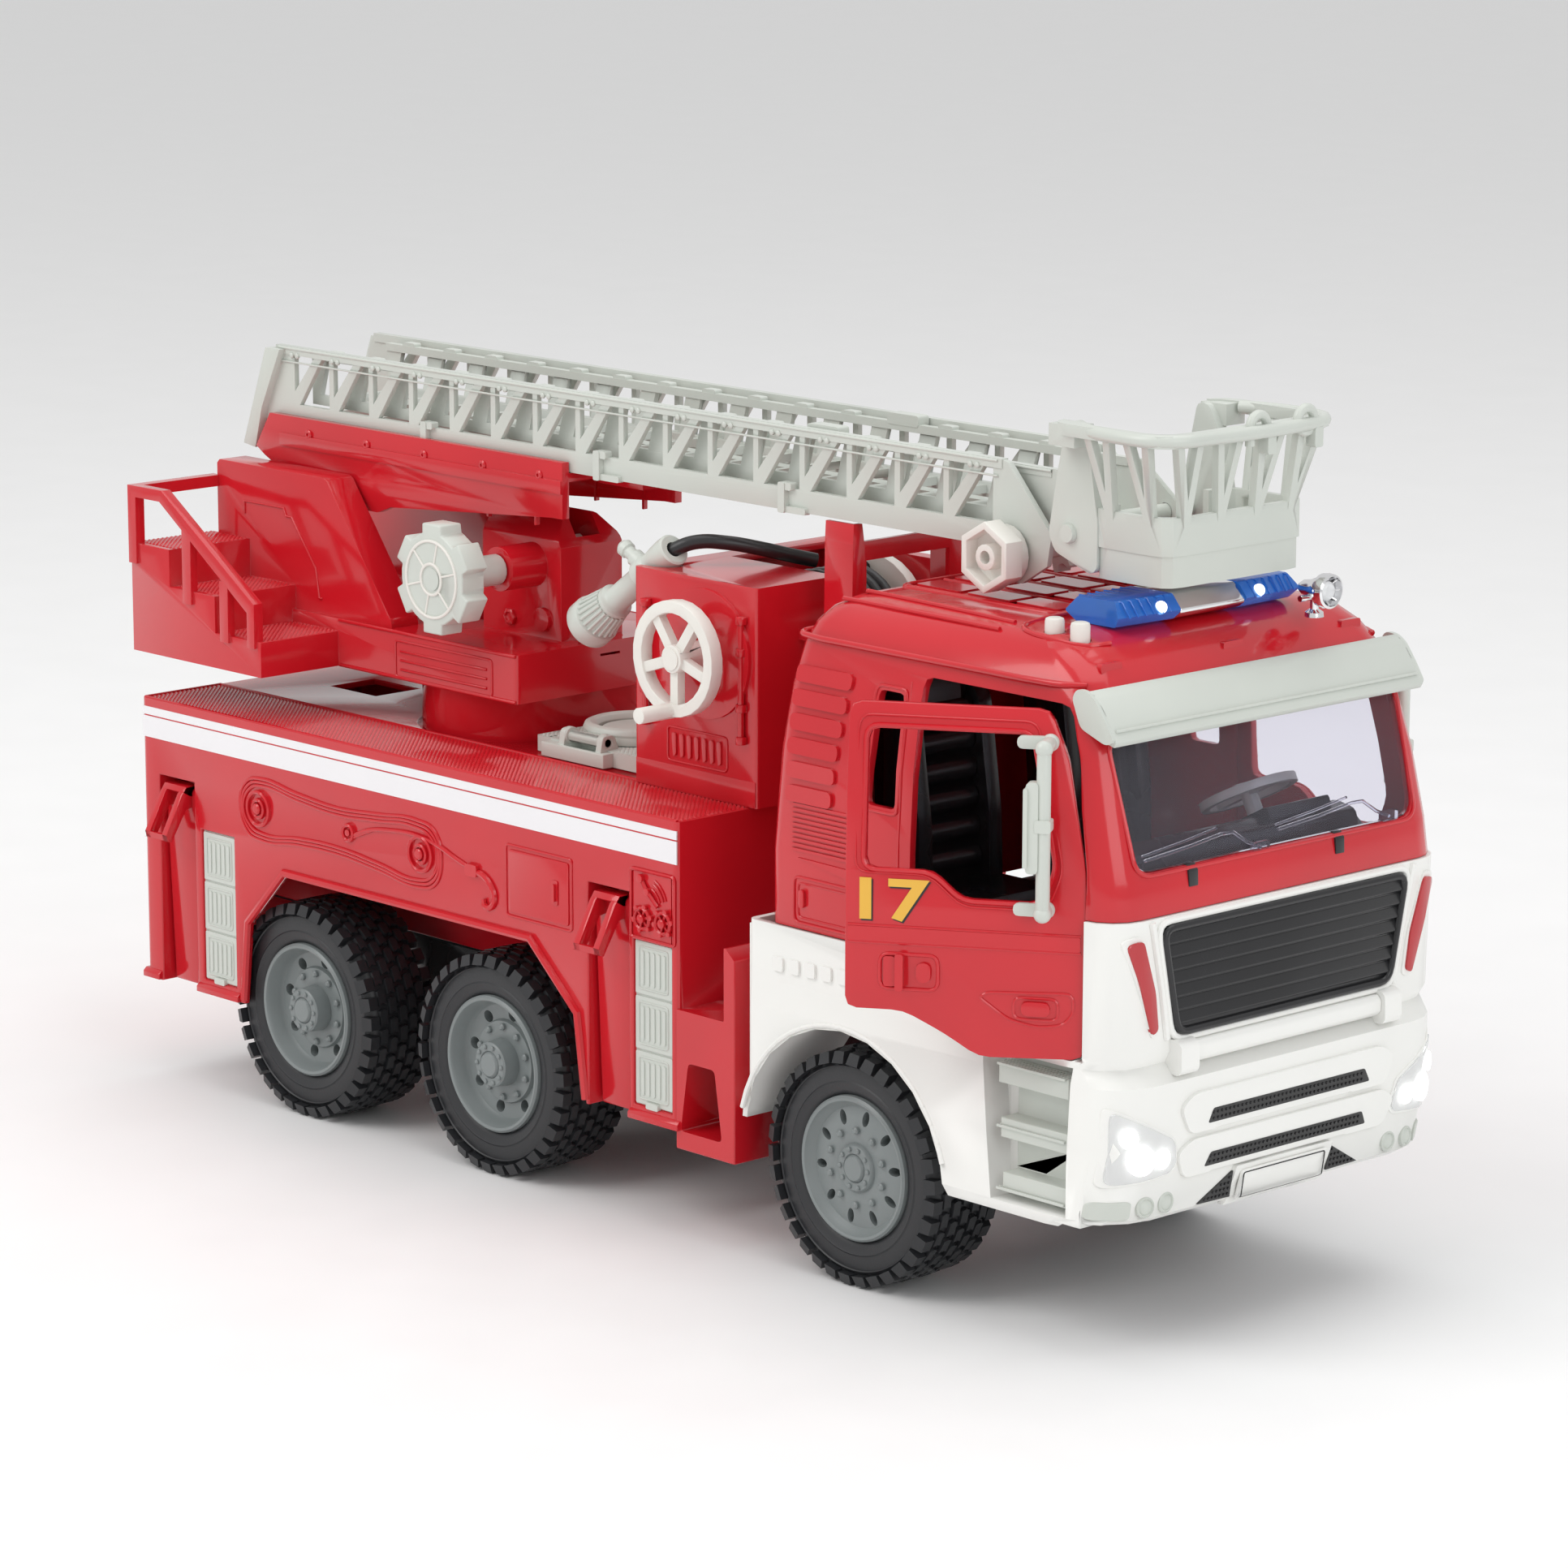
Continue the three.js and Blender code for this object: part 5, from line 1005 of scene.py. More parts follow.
bars = [(79.2, 92.0, -49.5), (63.6, 76.2, -50.5)]
shapes = []
for low, high, edge in bars:
    shapes.append(roundedOutline([(edge, low - 2.4), (-edge, low - 2.4), (-edge + 4.5, high - 5.6),
        (-edge - 2.0, high - 1.4), (edge + 2.0, high - 1.4),
                                  (edge - 4.5, high - 5.6)], 3.0, 4))
frontPiece("bumper_bars", shapes, -0.5, 1.6, whiteGloss, mirrored=False, soften=0.8)
shapes, studs = [], bmesh.new()
for low, high, edge in bars:
    slot = [(-41.0, low), (41.0, low), (38.4, low + 4.9), (-38.4, low + 4.9)]
    shapes.append(roundedOutline(slot, 0.8, 2))
    for row in range(2):
        for n in range(38):
            y = -38.4 + n * 2.03
            made = bmesh.ops.create_cone(studs, cap_ends=True, segments=6, radius1=0.62, radius2=0.4,
                depth=0.7)["verts"]
            place = Matrix.Translation((1.9, y, low + 1.35 + 2.1 * row)) @ Matrix.Rotation(math.pi / 2, 4,
                "Y")
            bmesh.ops.transform(studs, matrix=place, verts=made)
frontPiece("bumper_slots", shapes, -0.5, 1.72, meshDark, mirrored=False, soften=0.0)
for side in (-1, 1):
    for row in range(4):
        for n in range(7 - 2 * row):
            made = bmesh.ops.create_cone(studs, cap_ends=True, segments=6, radius1=0.62, radius2=0.4,
                depth=0.7)["verts"]
            place = Matrix.Translation((1.1, side * (26.2 + 1.9 * n),
                50.7 + 2.0 * row)) @ Matrix.Rotation(math.pi / 2, 4, "Y")
            bmesh.ops.transform(studs, matrix=place, verts=made)
for vert in studs.verts:
    vert.co.x += frontAt(vert.co.y, vert.co.z, baseLevels)
makePiece("bumper_studs", studs, "vehicle", blackGloss)
frontPiece("bumper_corner_mesh", [[(-24.6, 58.8), (-40.6, 49.6), (-24.6, 49.2)],
    [(24.6, 58.8), (40.6, 49.6), (24.6, 49.2)]], -0.5, 0.9,
           meshDark, mirrored=False, soften=0.1)
frontPiece("plate_holder", [rectOutline(-24.6, 24.6, 45.2, 60.6, 1.4)], -0.5, 2.0,
    whiteGloss, mirrored=False, soften=0.7)
plate = rectOutline(-21.6, 21.6, 47.2, 58.6, 1.0)
frontPiece("plate_blank", [plate], 1.5, 2.5, whiteGloss, mirrored=False, soften=0.2)
bm = bmesh.new()
addTube(bm, [(2.5, y, z) for y, z in shrunk(plate, 1.0)], 0.22, sides=1, smooth=False, closed=True)
for vert in bm.verts:
    vert.co.x += frontAt(vert.co.y, vert.co.z, baseLevels)
makePiece("plate_line", bm, "vehicle", blackGloss)

lampOutline = roundedOutline([(-80.6, 88.6), (-57.0, 76.4), (-54.6, 67.6), (-57.4, 64.6), (-80.8, 62.6)],
    2.4, 4)
frontPiece("headlamp_lenses", [lampOutline], -0.4, 1.1, lampClear)
frontPiece("headlamp_bezels", [shrunk(lampOutline, -1.5)], -0.5, 0.5, whiteGloss)
bm = bmesh.new()
for y, z, r in ((-71.2, 71.2, 5.2), (-62.0, 70.4, 3.6), (-75.6, 79.4, 3.4)):
    x = frontAt(y, z, baseLevels)
    lean = Matrix.Rotation(math.radians(-max(0, abs(y) - 65) * 3.4), 4, "Z")
    made = addTurned(bm, [(r, 0), (r, 1.3), (r * 0.86, 1.7), (r * 0.8, 1.4), (r * 0.5, 1.9), (0, 2.1)], "x",
        (0, 0, 0), 32)
    bmesh.ops.transform(bm, matrix=Matrix.Translation((x, y, z)) @ lean, verts=made)
bothSides(bm)
makePiece("headlamp_bowls", bm, "vehicle", lampGlow)
fog = rectOutline(-83.2, -72.2, 49.8, 56.4, 1.6)
frontPiece("fog_lamps", [fog], -0.4, 0.9, paleGreen)
bm = bmesh.new()
for y in (-66.4, -56.6):
    x = frontAt(y, 53.6, baseLevels)
    lean = Matrix.Rotation(math.radians(-max(0, abs(y) - 63) * 3.4), 4, "Z")
    made = addTurned(bm, [(3.7, -1), (3.6, 0.6), (3.0, 1.1), (2.6, 0.6), (2.2, 0.9), (0, 1.3)], "x",
        (0, 0, 0), 32)
    bmesh.ops.transform(bm, matrix=Matrix.Translation((x, y, 53.6)) @ lean, verts=made)
bothSides(bm)
makePiece("round_lamps", bm, "vehicle", paleGreen)
bm = bmesh.new()
for n in range(5):
    x = 112.4 + 8.2 * n
    addPrism(bm, rectOutline(x - 2.6, x + 2.6, 109.6 + 0.25 * n, 114.8 + 0.25 * n, 1.0), "y", -86.1, -84)
relief("fender_squares", bm, "white_plastic", whiteGloss, soften=0.35)
bm = bmesh.new()
for k in range(2, 22):
    angle = math.radians(7.5 * k)
    addTube(bm, [(144.3 + 52.4 * math.cos(angle + d), -85.4, 42.7 + 52.4 * math.sin(angle + d)) for d in (0,
        0.1309)], 1.0, sides=2, smooth=False)
relief("front_arch_lip", bm, "white_plastic", whiteGloss, soften=0.0)

bm = bmesh.new()
for low in (96.4, 74.6, 52.6):  # ribbed treads of the entry steps
    for n in range(6):
        addBox(bm, 220, 252, -84.6 + n * 1.7, -83.7 + n * 1.7, low, low + 1.0)
relief("entry_step_ribs", bm, "pale_plastic", paleGreen, soften=0.2)

bm = bmesh.new()
addBox(bm, 217.0, 254.0, -74.5, -73.2, 46.0, 103.0)
relief("step_well_back", bm, "white_plastic", whiteGloss, soften=0.0)

bm = bmesh.new()
for y in (-43.8, 29.8):
    x = frontAt(y, 166, cabFrontLevels)
    addPrism(bm, [(x - 2, 161.2), (x + 1.2, 160.8), (x + 1.0, 166.2), (x - 0.6, 168.4), (x - 3, 168.4)],
        "y", y - 2.2, y + 2.2)
makePiece("screen_clips", bm, "vehicle", blackGloss, soften=0.25)
bm = bmesh.new()
for y0, y1, zLow in ((-66, -16, 171.5), (0, 50, 172.5)):
    path = [(frontAt(y, z, cabFrontLevels) + 1.0, y, z) for y,
        z in ((y1 + 6, zLow - 2.6), (y1, zLow), (y1 - 6, zLow + 4.2), (y1 - 12, zLow + 4.4),
        (y0 + 22, zLow + 2.6), (y0, zLow + 1.0))]
    addTube(bm, path, 0.65, sides=2, smooth=False)
    blade = [(frontAt(y, z, cabFrontLevels) + 1.0, y, z) for y,
        z in ((y1 - 14, zLow + 6.6), (y0 + 20, zLow + 4.6), (y0 - 1, zLow + 2.6))]
    addTube(bm, blade, 0.5, sides=2, smooth=False)
    addPrism(bm, rectOutline(y1 + 3, y1 + 11, zLow - 4.4, zLow - 0.8, 1.0), "x",
        frontAt(y1, zLow, cabFrontLevels) - 0.5, frontAt(y1, zLow, cabFrontLevels) + 1.4)
makePiece("screen_wipers", bm, "vehicle", clearScreen)
screenEdge = roundedOutline([(-69.5, 168), (69.5, 168), (71.5, 213), (-71.5, 213)], 7, 6)
bm = bmesh.new()
addTube(bm, [(frontAt(y, z, cabFrontLevels) + 0.1, y, z) for y, z in shrunk(screenEdge, -0.9)], 0.8,
    sides=2, smooth=False, closed=True)
makePiece("screen_bead", bm, "vehicle", redGloss)
bm = bmesh.new()
addTube(bm, [(264.4 + 0.55, y, 216.9) for y in (-75.6, 0, 75.6)], 0.55, sides=2, smooth=False)
for sign in (-1, 1):
    cheek = [(253.6, 229.2), (257.6, 226.6), (262.4, 220), (266.4, 213.6), (262.6, 212.2), (251.0, 216.4),
        (247.0, 226.0), (249.0, 229.4)]
    addPrism(bm, roundedOutline(cheek, 2.0, 3), "y", sign * 76.4, sign * 78.2)
makePiece("visor_details", bm, "vehicle", paleGreen, soften=0.6)
bm = bmesh.new()
for y in (-60, 0, 60):
    addPrism(bm, rectOutline(y - 5, y + 5, 232.2, 235.6, 1.2), "x", frontAt(y, 234, cabFrontLevels) - 1.5,
        frontAt(y, 234, cabFrontLevels) + 0.6)
makePiece("visor_lumps", bm, "vehicle", redGloss, soften=0.4)
print("cab front dressed")

# roof

roofTop = 243.0
bm = bmesh.new()
for y in (-31.0, -12.5, 5.5, 24.0):
    for x0, x1 in ((127.0, 149.0), (152.0, 173.0), (176.0, 197.0)):
        addPrism(bm, rectOutline(x0, x1, y - 2.5, y + 9.5, 1.6), "z", roofTop - 0.3, roofTop + 0.7)
    addTube(bm, [(126.0, y - 5.6, roofTop), (198.0, y - 5.6, roofTop)], 0.7, sides=2, smooth=False)
addTube(bm, [(x, y, roofTop - 0.2) for x, y in rectOutline(123, 200, -38, 38, 6)], 0.9, sides=2,
    smooth=False, closed=True)
tearLine = [(204, 30), (204, -52), (207, -60.5), (214, -63.6), (226, -63.6), (236, -60), (239.5, -52)]
heights = {204: 242.8, 207: 242.2, 214: 241.3, 226: 240.4, 236: 239.6, 239.5: 240.0}
addTube(bm, [(x, y, heights[x] + 0.2) for x, y in tearLine], 0.9, sides=2)
makePiece("roof_relief", bm, "vehicle", redGloss, soften=0.4)
bm = bmesh.new()
addTube(bm, [(124, -54, 243.1), (160, -55.5, 243.0), (200, -57.6, 242.6)], 0.9, sides=2)
addTube(bm, [(122, -63.5, 241.4), (160, -64.5, 241.5), (200, -65.0, 241.2)], 0.9, sides=2)
relief("roof_ridges", bm, soften=0.0)

lightBar = {"rear": 209.5, "front": 238.5, "low": 243.3, "high": 252.2, "half": 45.5, "gapHalf": 16.4}
barRear, barFront, barLow, barHigh = (lightBar[key] for key in ("rear", "front", "low", "high"))
for side, y0, y1 in (("right", -lightBar["half"], -lightBar["gapHalf"]),
        ("left", lightBar["gapHalf"], lightBar["half"])):
    bm = bmesh.new()
    lamp = roundedOutline([(barRear + 4, barLow), (barFront - 4, barLow), (barFront, barLow + 3.7),
        (barFront - 4.5, barHigh),
                           (barRear + 4.5, barHigh), (barRear, barLow + 3.7)], 0.8, 2)
    made = addPrism(bm, lamp, "y", y0, y1)
    outer = y0 if side == "right" else y1
    for vert in made:  # the outer end is faceted
        if abs(vert.co.y - outer) < 0.01:
            vert.co.y = outer - math.copysign(abs(vert.co.z - 247.4) * 0.55, outer)
            vert.co.x = 224 + (vert.co.x - 224) * 0.86
    for n in range(6):
        y = y0 + 4.5 + n * (y1 - y0 - 9) / 5
        addTube(bm, [(238.0, y, 246.9), (234.2, y, 251.9), (214, y, 252.0)], 0.35, sides=1, smooth=False)
    piece = makePiece(f"beacon_{side}", bm, "vehicle", blueLens, soften=0.35)
    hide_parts(f"light_{side}")
bm = bmesh.new()
for y in (-24.5, 24.5):
    bmesh.ops.create_uvsphere(bm, u_segments=20, v_segments=12, radius=2.2,
        matrix=Matrix.Translation((236.4, y, 248.6)))
makePiece("beacon_glow", bm, "vehicle", lampGlow)
bm = bmesh.new()
addTube(bm, [(250, 38, 239.4), (250, 38, 246.8)], 1.5, sides=4, smooth=False)
addTurned(bm, [(0, 243.4), (1.6, 243.6), (2.6, 245.2), (3.2, 248.4), (4.4, 251.6), (5.9, 253.6),
    (6.2, 255.6), (6.0, 257.6), (5.2, 258.0),
               (4.9, 256.4), (3.2, 254.2), (0, 253.4)], "x", (0, 38, 249.2), 40)
for k in range(8):
    angle = math.radians(45 * k)
    addTube(bm, [(253.8, 38 + 1.6 * math.cos(angle), 249.2 + 1.6 * math.sin(angle)),
        (256.8, 38 + 5.0 * math.cos(angle), 249.2 + 5.0 * math.sin(angle))], 0.35, sides=1, smooth=False)
addTube(bm, [(250, 30.5, 246.6), (250, 45.5, 246.6)], 1.1, sides=3, smooth=False)
addTurned(bm, [(0, 239.6), (3.4, 239.6), (3.2, 241.2), (1.8, 242.2), (0, 242.2)], "z", (250, 38, 0), 24)
piece = makePiece("search_lamp", bm, "vehicle", chromeTrim)
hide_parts("spotlight")
bm = bmesh.new()
addTurned(bm, [(0, 254.2), (2.6, 254.4), (3.4, 256.0), (2.4, 257.2), (0, 257.8)], "x", (0, 38, 249.2), 24)
makePiece("search_lamp_bulb", bm, "vehicle", lampClear)
for n, x in enumerate((219.5, 231.5), 1):
    bm = bmesh.new()
    addTurned(bm, [(0, 238.6), (3.2, 238.6), (3.4, 239.4), (3.4, 245.8), (3.1, 246.8), (2.2, 247.2),
        (0, 247.2)], "z", (x, -58.5, 0), 40)
    piece = makePiece(f"sound_button_{n}_cap", bm, f"button_{n}", ivoryMatt)
    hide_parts(f"sound_button_{n}")
print("roof dressed")

# inside the cab

bm = bmesh.new()
for y in (-38, 38):
    for n in range(7):
        z = 138 + n * 10.5
        addPrism(bm, roundedOutline([(143.5 - n * 0.6, z - 4.6), (151.5 - n * 0.9, z - 3.8),
            (153.5 - n * 1.0, z), (151.5 - n * 0.9, z + 3.8),
                                     (143.5 - n * 0.6, z + 4.6)], 1.8, 3), "y", y - 13.5, y + 13.5)
    for side in (-1, 1):
        addPrism(bm, roundedOutline([(137, 132), (156, 134), (155, 165), (149, 206), (142, 212),
            (137, 208)], 3.5, 3), "y", y + side * 14, y + side * 20.5)
    addPrism(bm, roundedOutline([(138, 203), (145.5, 203), (143.5, 217.5), (137.5, 217.5)], 2.5, 3), "y",
        y - 9.5, y + 9.5)
    for n in range(3):
        addPrism(bm, rectOutline(151 + n * 9.5, 159.0 + n * 9.5, y - 13.5, y + 13.5, 2.2), "z", 130,
            139.4 - 0.6 * n)
makePiece("seat_cushions", bm, "vehicle", blackGloss, soften=0.7)
bm = bmesh.new()
addPrism(bm, roundedOutline([(230, 150), (246, 152), (252, 160), (250, 168.5), (240, 170.5), (232, 166)], 3,
    3), "y", -62, 62)
for y in (-30, -10):
    addPrism(bm, rectOutline(y - 7, y + 7, 156, 165, 1.5), "x", 228.6, 231.5)
addPrism(bm, roundedOutline([(229, 166), (244, 174), (246, 169), (236, 164)], 1.5, 2), "y", 22, 54)
makePiece("dashboard_details", bm, "vehicle", blackGloss, soften=0.8)
print("cab interior dressed")

# turntable, ladder and basket

def stud(bm, x, y, z, radius, high, sides=20):
    addTurned(bm, [(radius, 0.3), (radius, -high * 0.6), (radius * 0.7, -high), (radius * 0.35, -high),
        (radius * 0.3, -high * 0.5), (0, -high * 0.5)],
              "y", (x, y, z), sides)


bm = bmesh.new()
trayPanel = rectOutline(-145.4, -88.0, 173.6, 187.8, 1.6)
addBead(bm, trayPanel, "y", -47.0, 0.6)
for z in (176.6, 180.2, 183.8):
    addTube(bm, [(-142.4, -47.0, z), (-91.0, -47.0, z)], 0.6, sides=2, smooth=False)
addTube(bm, [(-180.0, -46.9, 191.0), (-74.2, -46.9, 191.0)], 0.8, sides=2, smooth=False)
addTube(bm, [(-180.0, -46.9, 173.3), (-74.2, -46.9, 173.3)], 0.8, sides=2, smooth=False)
for line in ([(-241, 225.5), (-241, 230.6), (-216, 230.6), (-214.5, 227.5), (-211, 227.5), (-196.5, 209.0),
        (-194.5, 197.5), (-192.6, 197.5)],):
    addTube(bm, [(x, -45.1, z) for x, z in line], 0.55, sides=2, smooth=False)
for x, z in ((-113.5, 197.5), (-93.5, 197.5)):
    addTurned(bm, [(3.4, 0.3), (3.4, -1.2), (2.2, -1.7), (1.7, -0.9), (0, -0.9)], "y", (x, -15.5, z), 6)
relief("turntable_relief", bm, body="turntable_body", soften=0.15)
bm = bmesh.new()
for x0, x1, z in ((-261.8, -239.2, 215.8), (-237.4, -210.4, 201.0), (-208.6, -182.0, 186.5)):
    patch = bmesh.new()
    knurledPatch(patch, x0, x1, -81.6, -46.4, z + 0.02)
    patchMesh = bpy.data.meshes.new("patch")
    patch.to_mesh(patchMesh)
    patch.free()
    bm.from_mesh(patchMesh)
relief("tread_grain", bm, body="turntable_body", soften=0.0)

bm = bmesh.new()
for x in (-218.0, -182.0, -147.0, -112.0, -79.0):
    stud(bm, x, -30.2, 258.0, 1.9, 1.0)
for x in (-224, -196, -168, -140, -112, -84):
    addPrism(bm, rectOutline(x - 0.6, x + 0.6, 238.0, 251.0, 0.4), "y", -28.2, -26.4)
relief("cradle_rivets", bm, body="ladder", soften=0.0)

ladder = {"rear": -243.0, "pitch": 25.3, "outer": 26.5, "rail": 287.6}
bm = bmesh.new()
for n in range(16):
    x = ladder["rear"] + 12 + n * ladder["pitch"]
    for shift in (-1.7, 1.7):
        addTurned(bm, [(1.15, 0.3), (1.1, -0.5), (0.7, -0.8), (0, -0.85)], "y",
            (x + shift, -ladder["outer"], ladder["rail"]), 12)
addTube(bm, [(-241, -26.5, 290.2), (160, -26.5, 290.2)], 0.55, sides=2, smooth=False)
addTube(bm, [(-241, -26.5, 284.9), (160, -26.5, 284.9)], 0.4, sides=2, smooth=False)
for x in (-150.0, -49.0, 52.0):
    addPrism(bm, rectOutline(x - 1.6, x + 1.8, 259.2, 270.4, 0.9), "y", -28.4, -24.6)
    addPrism(bm, rectOutline(x + 1.0, x + 5.0, 267.6, 270.4, 0.8), "y", -28.0, -24.6)
    addPrism(bm, rectOutline(x + 1.0, x + 12.0, 259.4, 261.8, 0.8), "y", -27.6, -25.0)
relief("ladder_studs_and_clips", bm, "pale_plastic", paleGreen, body="ladder", soften=0.0)
bm = bmesh.new()
for n in range(15):
    x = -214 + n * ladder["pitch"]
    addPrism(bm, rectOutline(x - 3.6, x + 3.6, 287.6, 290.3, 0.9), "y", -21.2, -17.6)
addTube(bm, [(-222, -20.5, 288.2), (180, -20.5, 288.2)], 0.5, sides=2, smooth=False)
addPrism(bm, rectOutline(60, 76, 288.0, 292.2, 1.2), "y", -22.8, -17.2)
relief("fly_rail_lugs", bm, "pale_plastic", paleGreen, body="fly", soften=0.35)

basketHooks = {"x": 255.2, "ring": 4.1, "bar": 1.75, "high": 309.6}
bm = bmesh.new()
for y, closed in ((1.9, False), (25.6, True)):
    path = []
    for k in range(17 if not closed else 20):
        angle = math.radians(-12 + k * 12.75) if not closed else math.radians(18 * k)
        path.append((basketHooks["x"], y + basketHooks["ring"] * math.cos(angle),
            basketHooks["high"] + basketHooks["ring"] * math.sin(angle)))
    if not closed:
        path = [(basketHooks["x"], y + basketHooks["ring"], 301.6)] + path[1:-1] + [(basketHooks["x"],
            y - basketHooks["ring"], 303.4)]
    addTube(bm, path, basketHooks["bar"], sides=3, smooth=False, closed=closed)
    addPrism(bm, rectOutline(y + 2.2, y + 6.4, 300.0, 307.0, 1.2), "x", basketHooks["x"] - 1.6,
        basketHooks["x"] + 2.6)
for y in (-30, 30):
    addTurned(bm, [(0, -1.6), (3.0, -1.6), (3.4, -0.6), (3.4, 0.6), (2.6, 1.2), (0, 1.2)], "y",
        (203, y * 1.17, 271), 32)
makePiece("basket_hooks", bm, "basket_body", paleGreen, soften=0.3)

bm = bmesh.new()
rimRail = [(213, -39.0), (222, -42.0), (238, -43.4), (248, -41.6), (254.0, -36.0), (256.0, -26),
    (256.0, 26), (254.0, 36.0), (248, 41.6),
           (238, 43.4), (222, 42.0), (213, 39.0)]
addTube(bm, [(x, y, 308.2) for x, y in rimRail], 2.4, sides=4)
makePiece("basket_rail", bm, "basket_body", paleGreen)

knob = {"x": -100.2, "z": 219.6, "face": -66.0}
bm = bmesh.new()
for r in (14.6, 5.9):
    addTurned(bm, [(r + 0.6, 0.3), (r + 0.5, -0.55), (r, -0.75), (r - 0.5, -0.55), (r - 0.6, 0.3)], "y",
        (knob["x"], knob["face"], knob["z"]), 56)
for n in range(6):
    way = Vector((math.cos(math.radians(60 * n + 15)), 0, math.sin(math.radians(60 * n + 15))))
    hub = Vector((knob["x"], knob["face"] - 0.1, knob["z"]))
    addTube(bm, [hub + way * 6.0, hub + way * 14.4], 0.45, sides=2, smooth=False)
makePiece("lift_knob_lines", bm, "lift_knob_body", ivoryMatt)
bm = bmesh.new()
addTurned(bm, [(4.3, 0.2), (4.3, -0.25), (0, -0.25)], "y", (knob["x"], knob["face"], knob["z"]), 40)
makePiece("lift_knob_socket", bm, "lift_knob_body", paleGreen)
print("turntable and ladder dressed")

# hose: lead, coil, nozzle

hose = {"diameter": 5.4, "axisX": 34.5, "axisZ": 207.8, "turns": 7, "from": -3.0, "to": 31.0,
    "radius": 21.8}
lead = [(-1.7, -38, 236), (1.6, -37.9, 238.5), (5.6, -36.5, 241.4), (11, -31.5, 243.8), (18, -23.5, 243.4),
    (25, -12.5, 240.8),
        (30, -3, 238), (34.5, 6, 235.5)]
bm = bmesh.new()
addTube(bm, lead, hose["diameter"] / 2, sides=6)
piece = makePiece("hose_free_lead", bm, bodyOf["hose_lead"], hoseBlack)
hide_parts("hose_lead")
bm = bmesh.new()
steps = 30 * hose["turns"]
coil = []
for k in range(steps + 1):
    angle = 2 * math.pi * k / 30
    coil.append((hose["axisX"] + hose["radius"] * math.sin(angle),
        hose["from"] + (hose["to"] - hose["from"]) * k / steps,
                 hose["axisZ"] + hose["radius"] * math.cos(angle)))
addTube(bm, coil, hose["diameter"] / 2, sides=4, smooth=False)
piece = makePiece("hose_turns", bm, bodyOf["hose_coil"], hoseBlack)
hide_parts("hose_coil")

nozzle = {"flutes": 22, "place": (1.5, -38.0, 238.4), "tilt": 144.0, "branchAngle": 63.0}
bm = bmesh.new()
addTurned(bm, [(3.0, 0), (3.0, -4.5), (5.4, -4.7), (6.2, -4.2), (6.4, -1.0), (6.2, 4), (5.6, 9), (6.2, 10),
    (6.4, 11), (6.4, 16), (5.6, 17),
               (5.0, 18), (5.0, 33.4), (5.6, 34.4), (6.8, 35), (6.9, 36.6), (6.4, 37.2), (8.2, 47.6),
               (9.4, 48.2), (9.7, 49.2), (9.7, 54.2),
               (9.2, 55), (7.6, 55), (7.2, 54.2), (5.4, 48), (0, 47.5)], "x", (0, 0, 0), 64)
for n in range(nozzle["flutes"]):
    angle = 2 * math.pi * n / nozzle["flutes"]
    way = Vector((0, math.cos(angle), math.sin(angle)))
    addTube(bm, [Vector((37.4, 0, 0)) + way * 6.5, Vector((47.6, 0, 0)) + way * 8.5], 0.62, sides=2,
        smooth=False)
branch = addTurned(bm, [(0, 0), (3.4, 0), (3.4, 9.0), (2.5, 9.6), (2.5, 12.6), (3.2, 13.2), (3.3, 15.6),
    (2.2, 17.0), (0, 17.4)], "x", (0, 0, 0), 32)
bmesh.ops.transform(bm, matrix=Matrix.Translation((12, 0,
    0)) @ Matrix.Rotation(math.radians(nozzle["branchAngle"]), 4, "Y"), verts=branch)
pose = Matrix.Translation(nozzle["place"]) @ Matrix.Rotation(math.radians(nozzle["tilt"]), 4, "Y")
piece = makePiece("spray_nozzle", bm, bodyOf["nozzle"], paleGreen, turn=pose)
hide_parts("nozzle")

# deck hatch

bm = bmesh.new()
knurledPatch(bm, -72.2, -14.8, -37.2, 11.2, 160.22)
near = [face for face in bm.faces if (face.calc_center_median().xy - Vector((-44, -12.5))).length < 22.5
        or (-66 < face.calc_center_median().x < -28 and face.calc_center_median().y < -34)]
bmesh.ops.delete(bm, geom=near, context="FACES")
makePiece("hatch_plate_grain", bm, "vehicle", paleGreen)
bm = bmesh.new()
addTurned(bm, [(20.2, 163.2), (20.6, 164.4), (19.8, 166.2), (18.0, 166.9), (16.0, 166.2), (15.0, 164.4),
    (15.2, 163.2)], "z", (-44, -12.5, 0), 72)
addTurned(bm, [(0, 163.2), (13.6, 163.2), (13.6, 163.9), (12.8, 164.3), (0, 164.5)], "z", (-44, -12.5, 0),
    56)
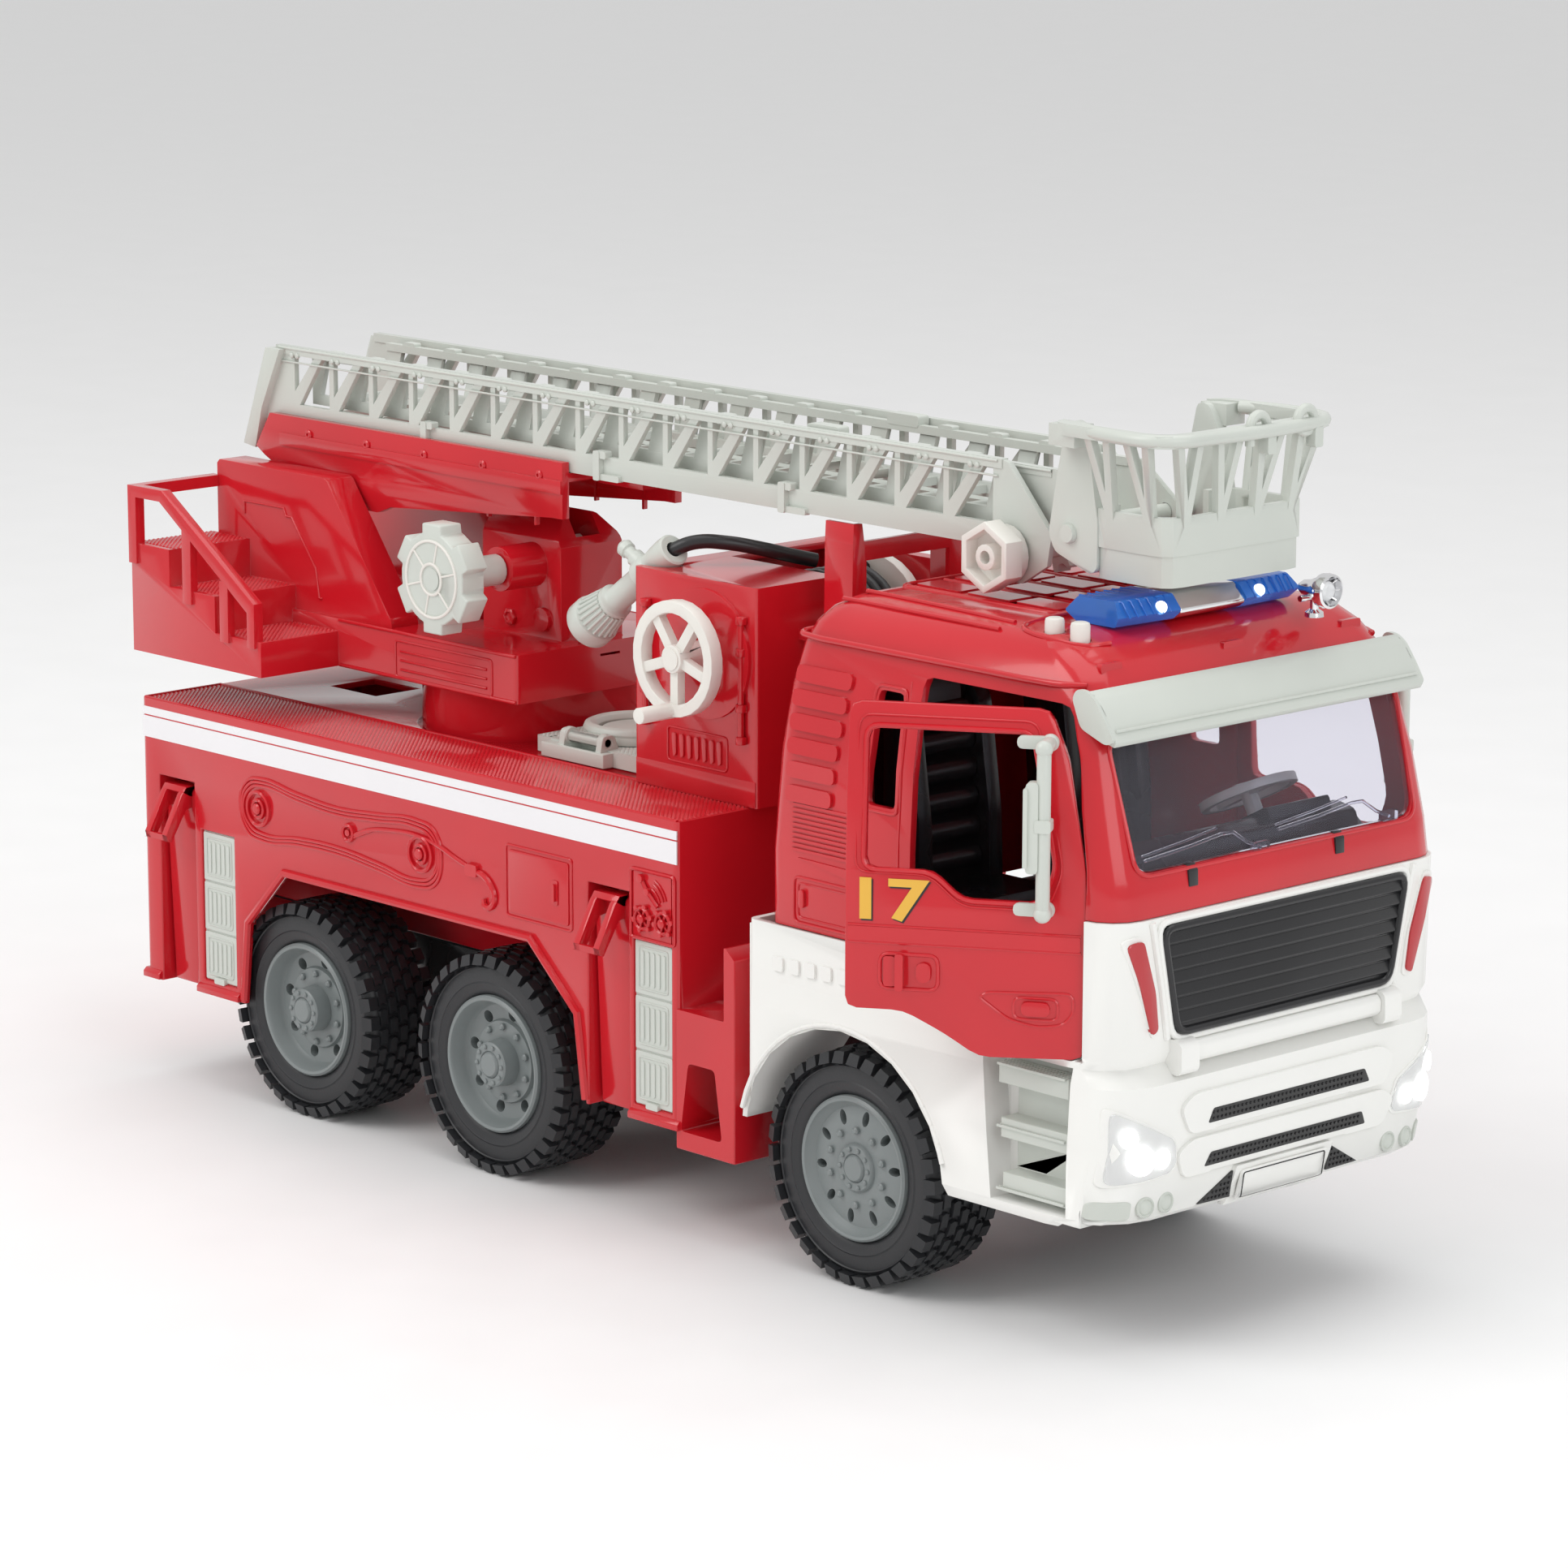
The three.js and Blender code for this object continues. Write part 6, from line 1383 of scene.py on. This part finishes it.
addTube(bm, [(-55.6, -37.5, 162.8), (-32.4, -37.5, 162.8)], 2.3, sides=4, smooth=False)
for x in (-54.0, -34.2):
    addTurned(bm, [(0, -1.5), (3.2, -1.4), (3.4, -0.6), (3.4, 0.6), (3.2, 1.4), (0, 1.5)], "x",
        (x, -37.5, 162.8), 28)
addPrism(bm, [(-50.5, -36.8), (-37.5, -36.8), (-39, -29.5), (-49, -29.5)], "z", 161.6, 164.0)
makePiece("hatch_ring_and_hinge", bm, "hatch", paleGreen, soften=0.2)
print("hose and hatch dressed")

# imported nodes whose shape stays: softened copies, and the rest with their finish

softEdges = {
    "rear_body": 0.7, "hose_tower": 0.6, "turntable": 0.6, "turntable_retainer": 0.3, "ladder_cradle": 0.35,
    "ladder_base": 0.3,
    "ladder_fly": 0.28, "cab_shell": 0.35, "cab_base": 0.5, "sun_visor": 0.3, "battery_box": 0.5,
    "chassis_frame": 0.4, "door_right": 0.3,
    "door_left": 0.3, "mirror_right": 0.2, "mirror_left": 0.2, "entry_steps_left": 0.4,
    "entry_steps_right": 0.4, "basket": 0.3,
    "front_grille": 0.3, "cab_interior": 0.5, "hatch_frame": 0.4, "hatch_lid": 0.3, "lift_knob": 0.7,
    "extend_knob": 0.6,
    "hose_reel": 0.4, "light_bar_base": 0.4, "light_left": 0.4, "light_right": 0.4, "steering_wheel": 0.3,
    "nozzle": 0.2,
    "spotlight": 0.15, "rear_left_outrigger": 0.4, "rear_right_outrigger": 0.4, "front_left_outrigger": 0.4,
    "front_right_outrigger": 0.4,
    "rear_left_shutter": 0.3, "rear_right_shutter": 0.3, "front_left_shutter": 0.3,
    "front_right_shutter": 0.3,
}
for node, item in frame["nodes"].items():
    if item.hide_render:
        continue
    if node in softEdges:
        polished(node, softEdges[node], finishOf[slotOf[node]], bodyOf[node])
    else:
        item.data.materials.clear()
        item.data.materials.append(finishOf[slotOf[node]])
        item.data.shade_smooth()
        item.data.set_sharp_from_angle(angle=math.radians(30))
print("packed nodes finished")
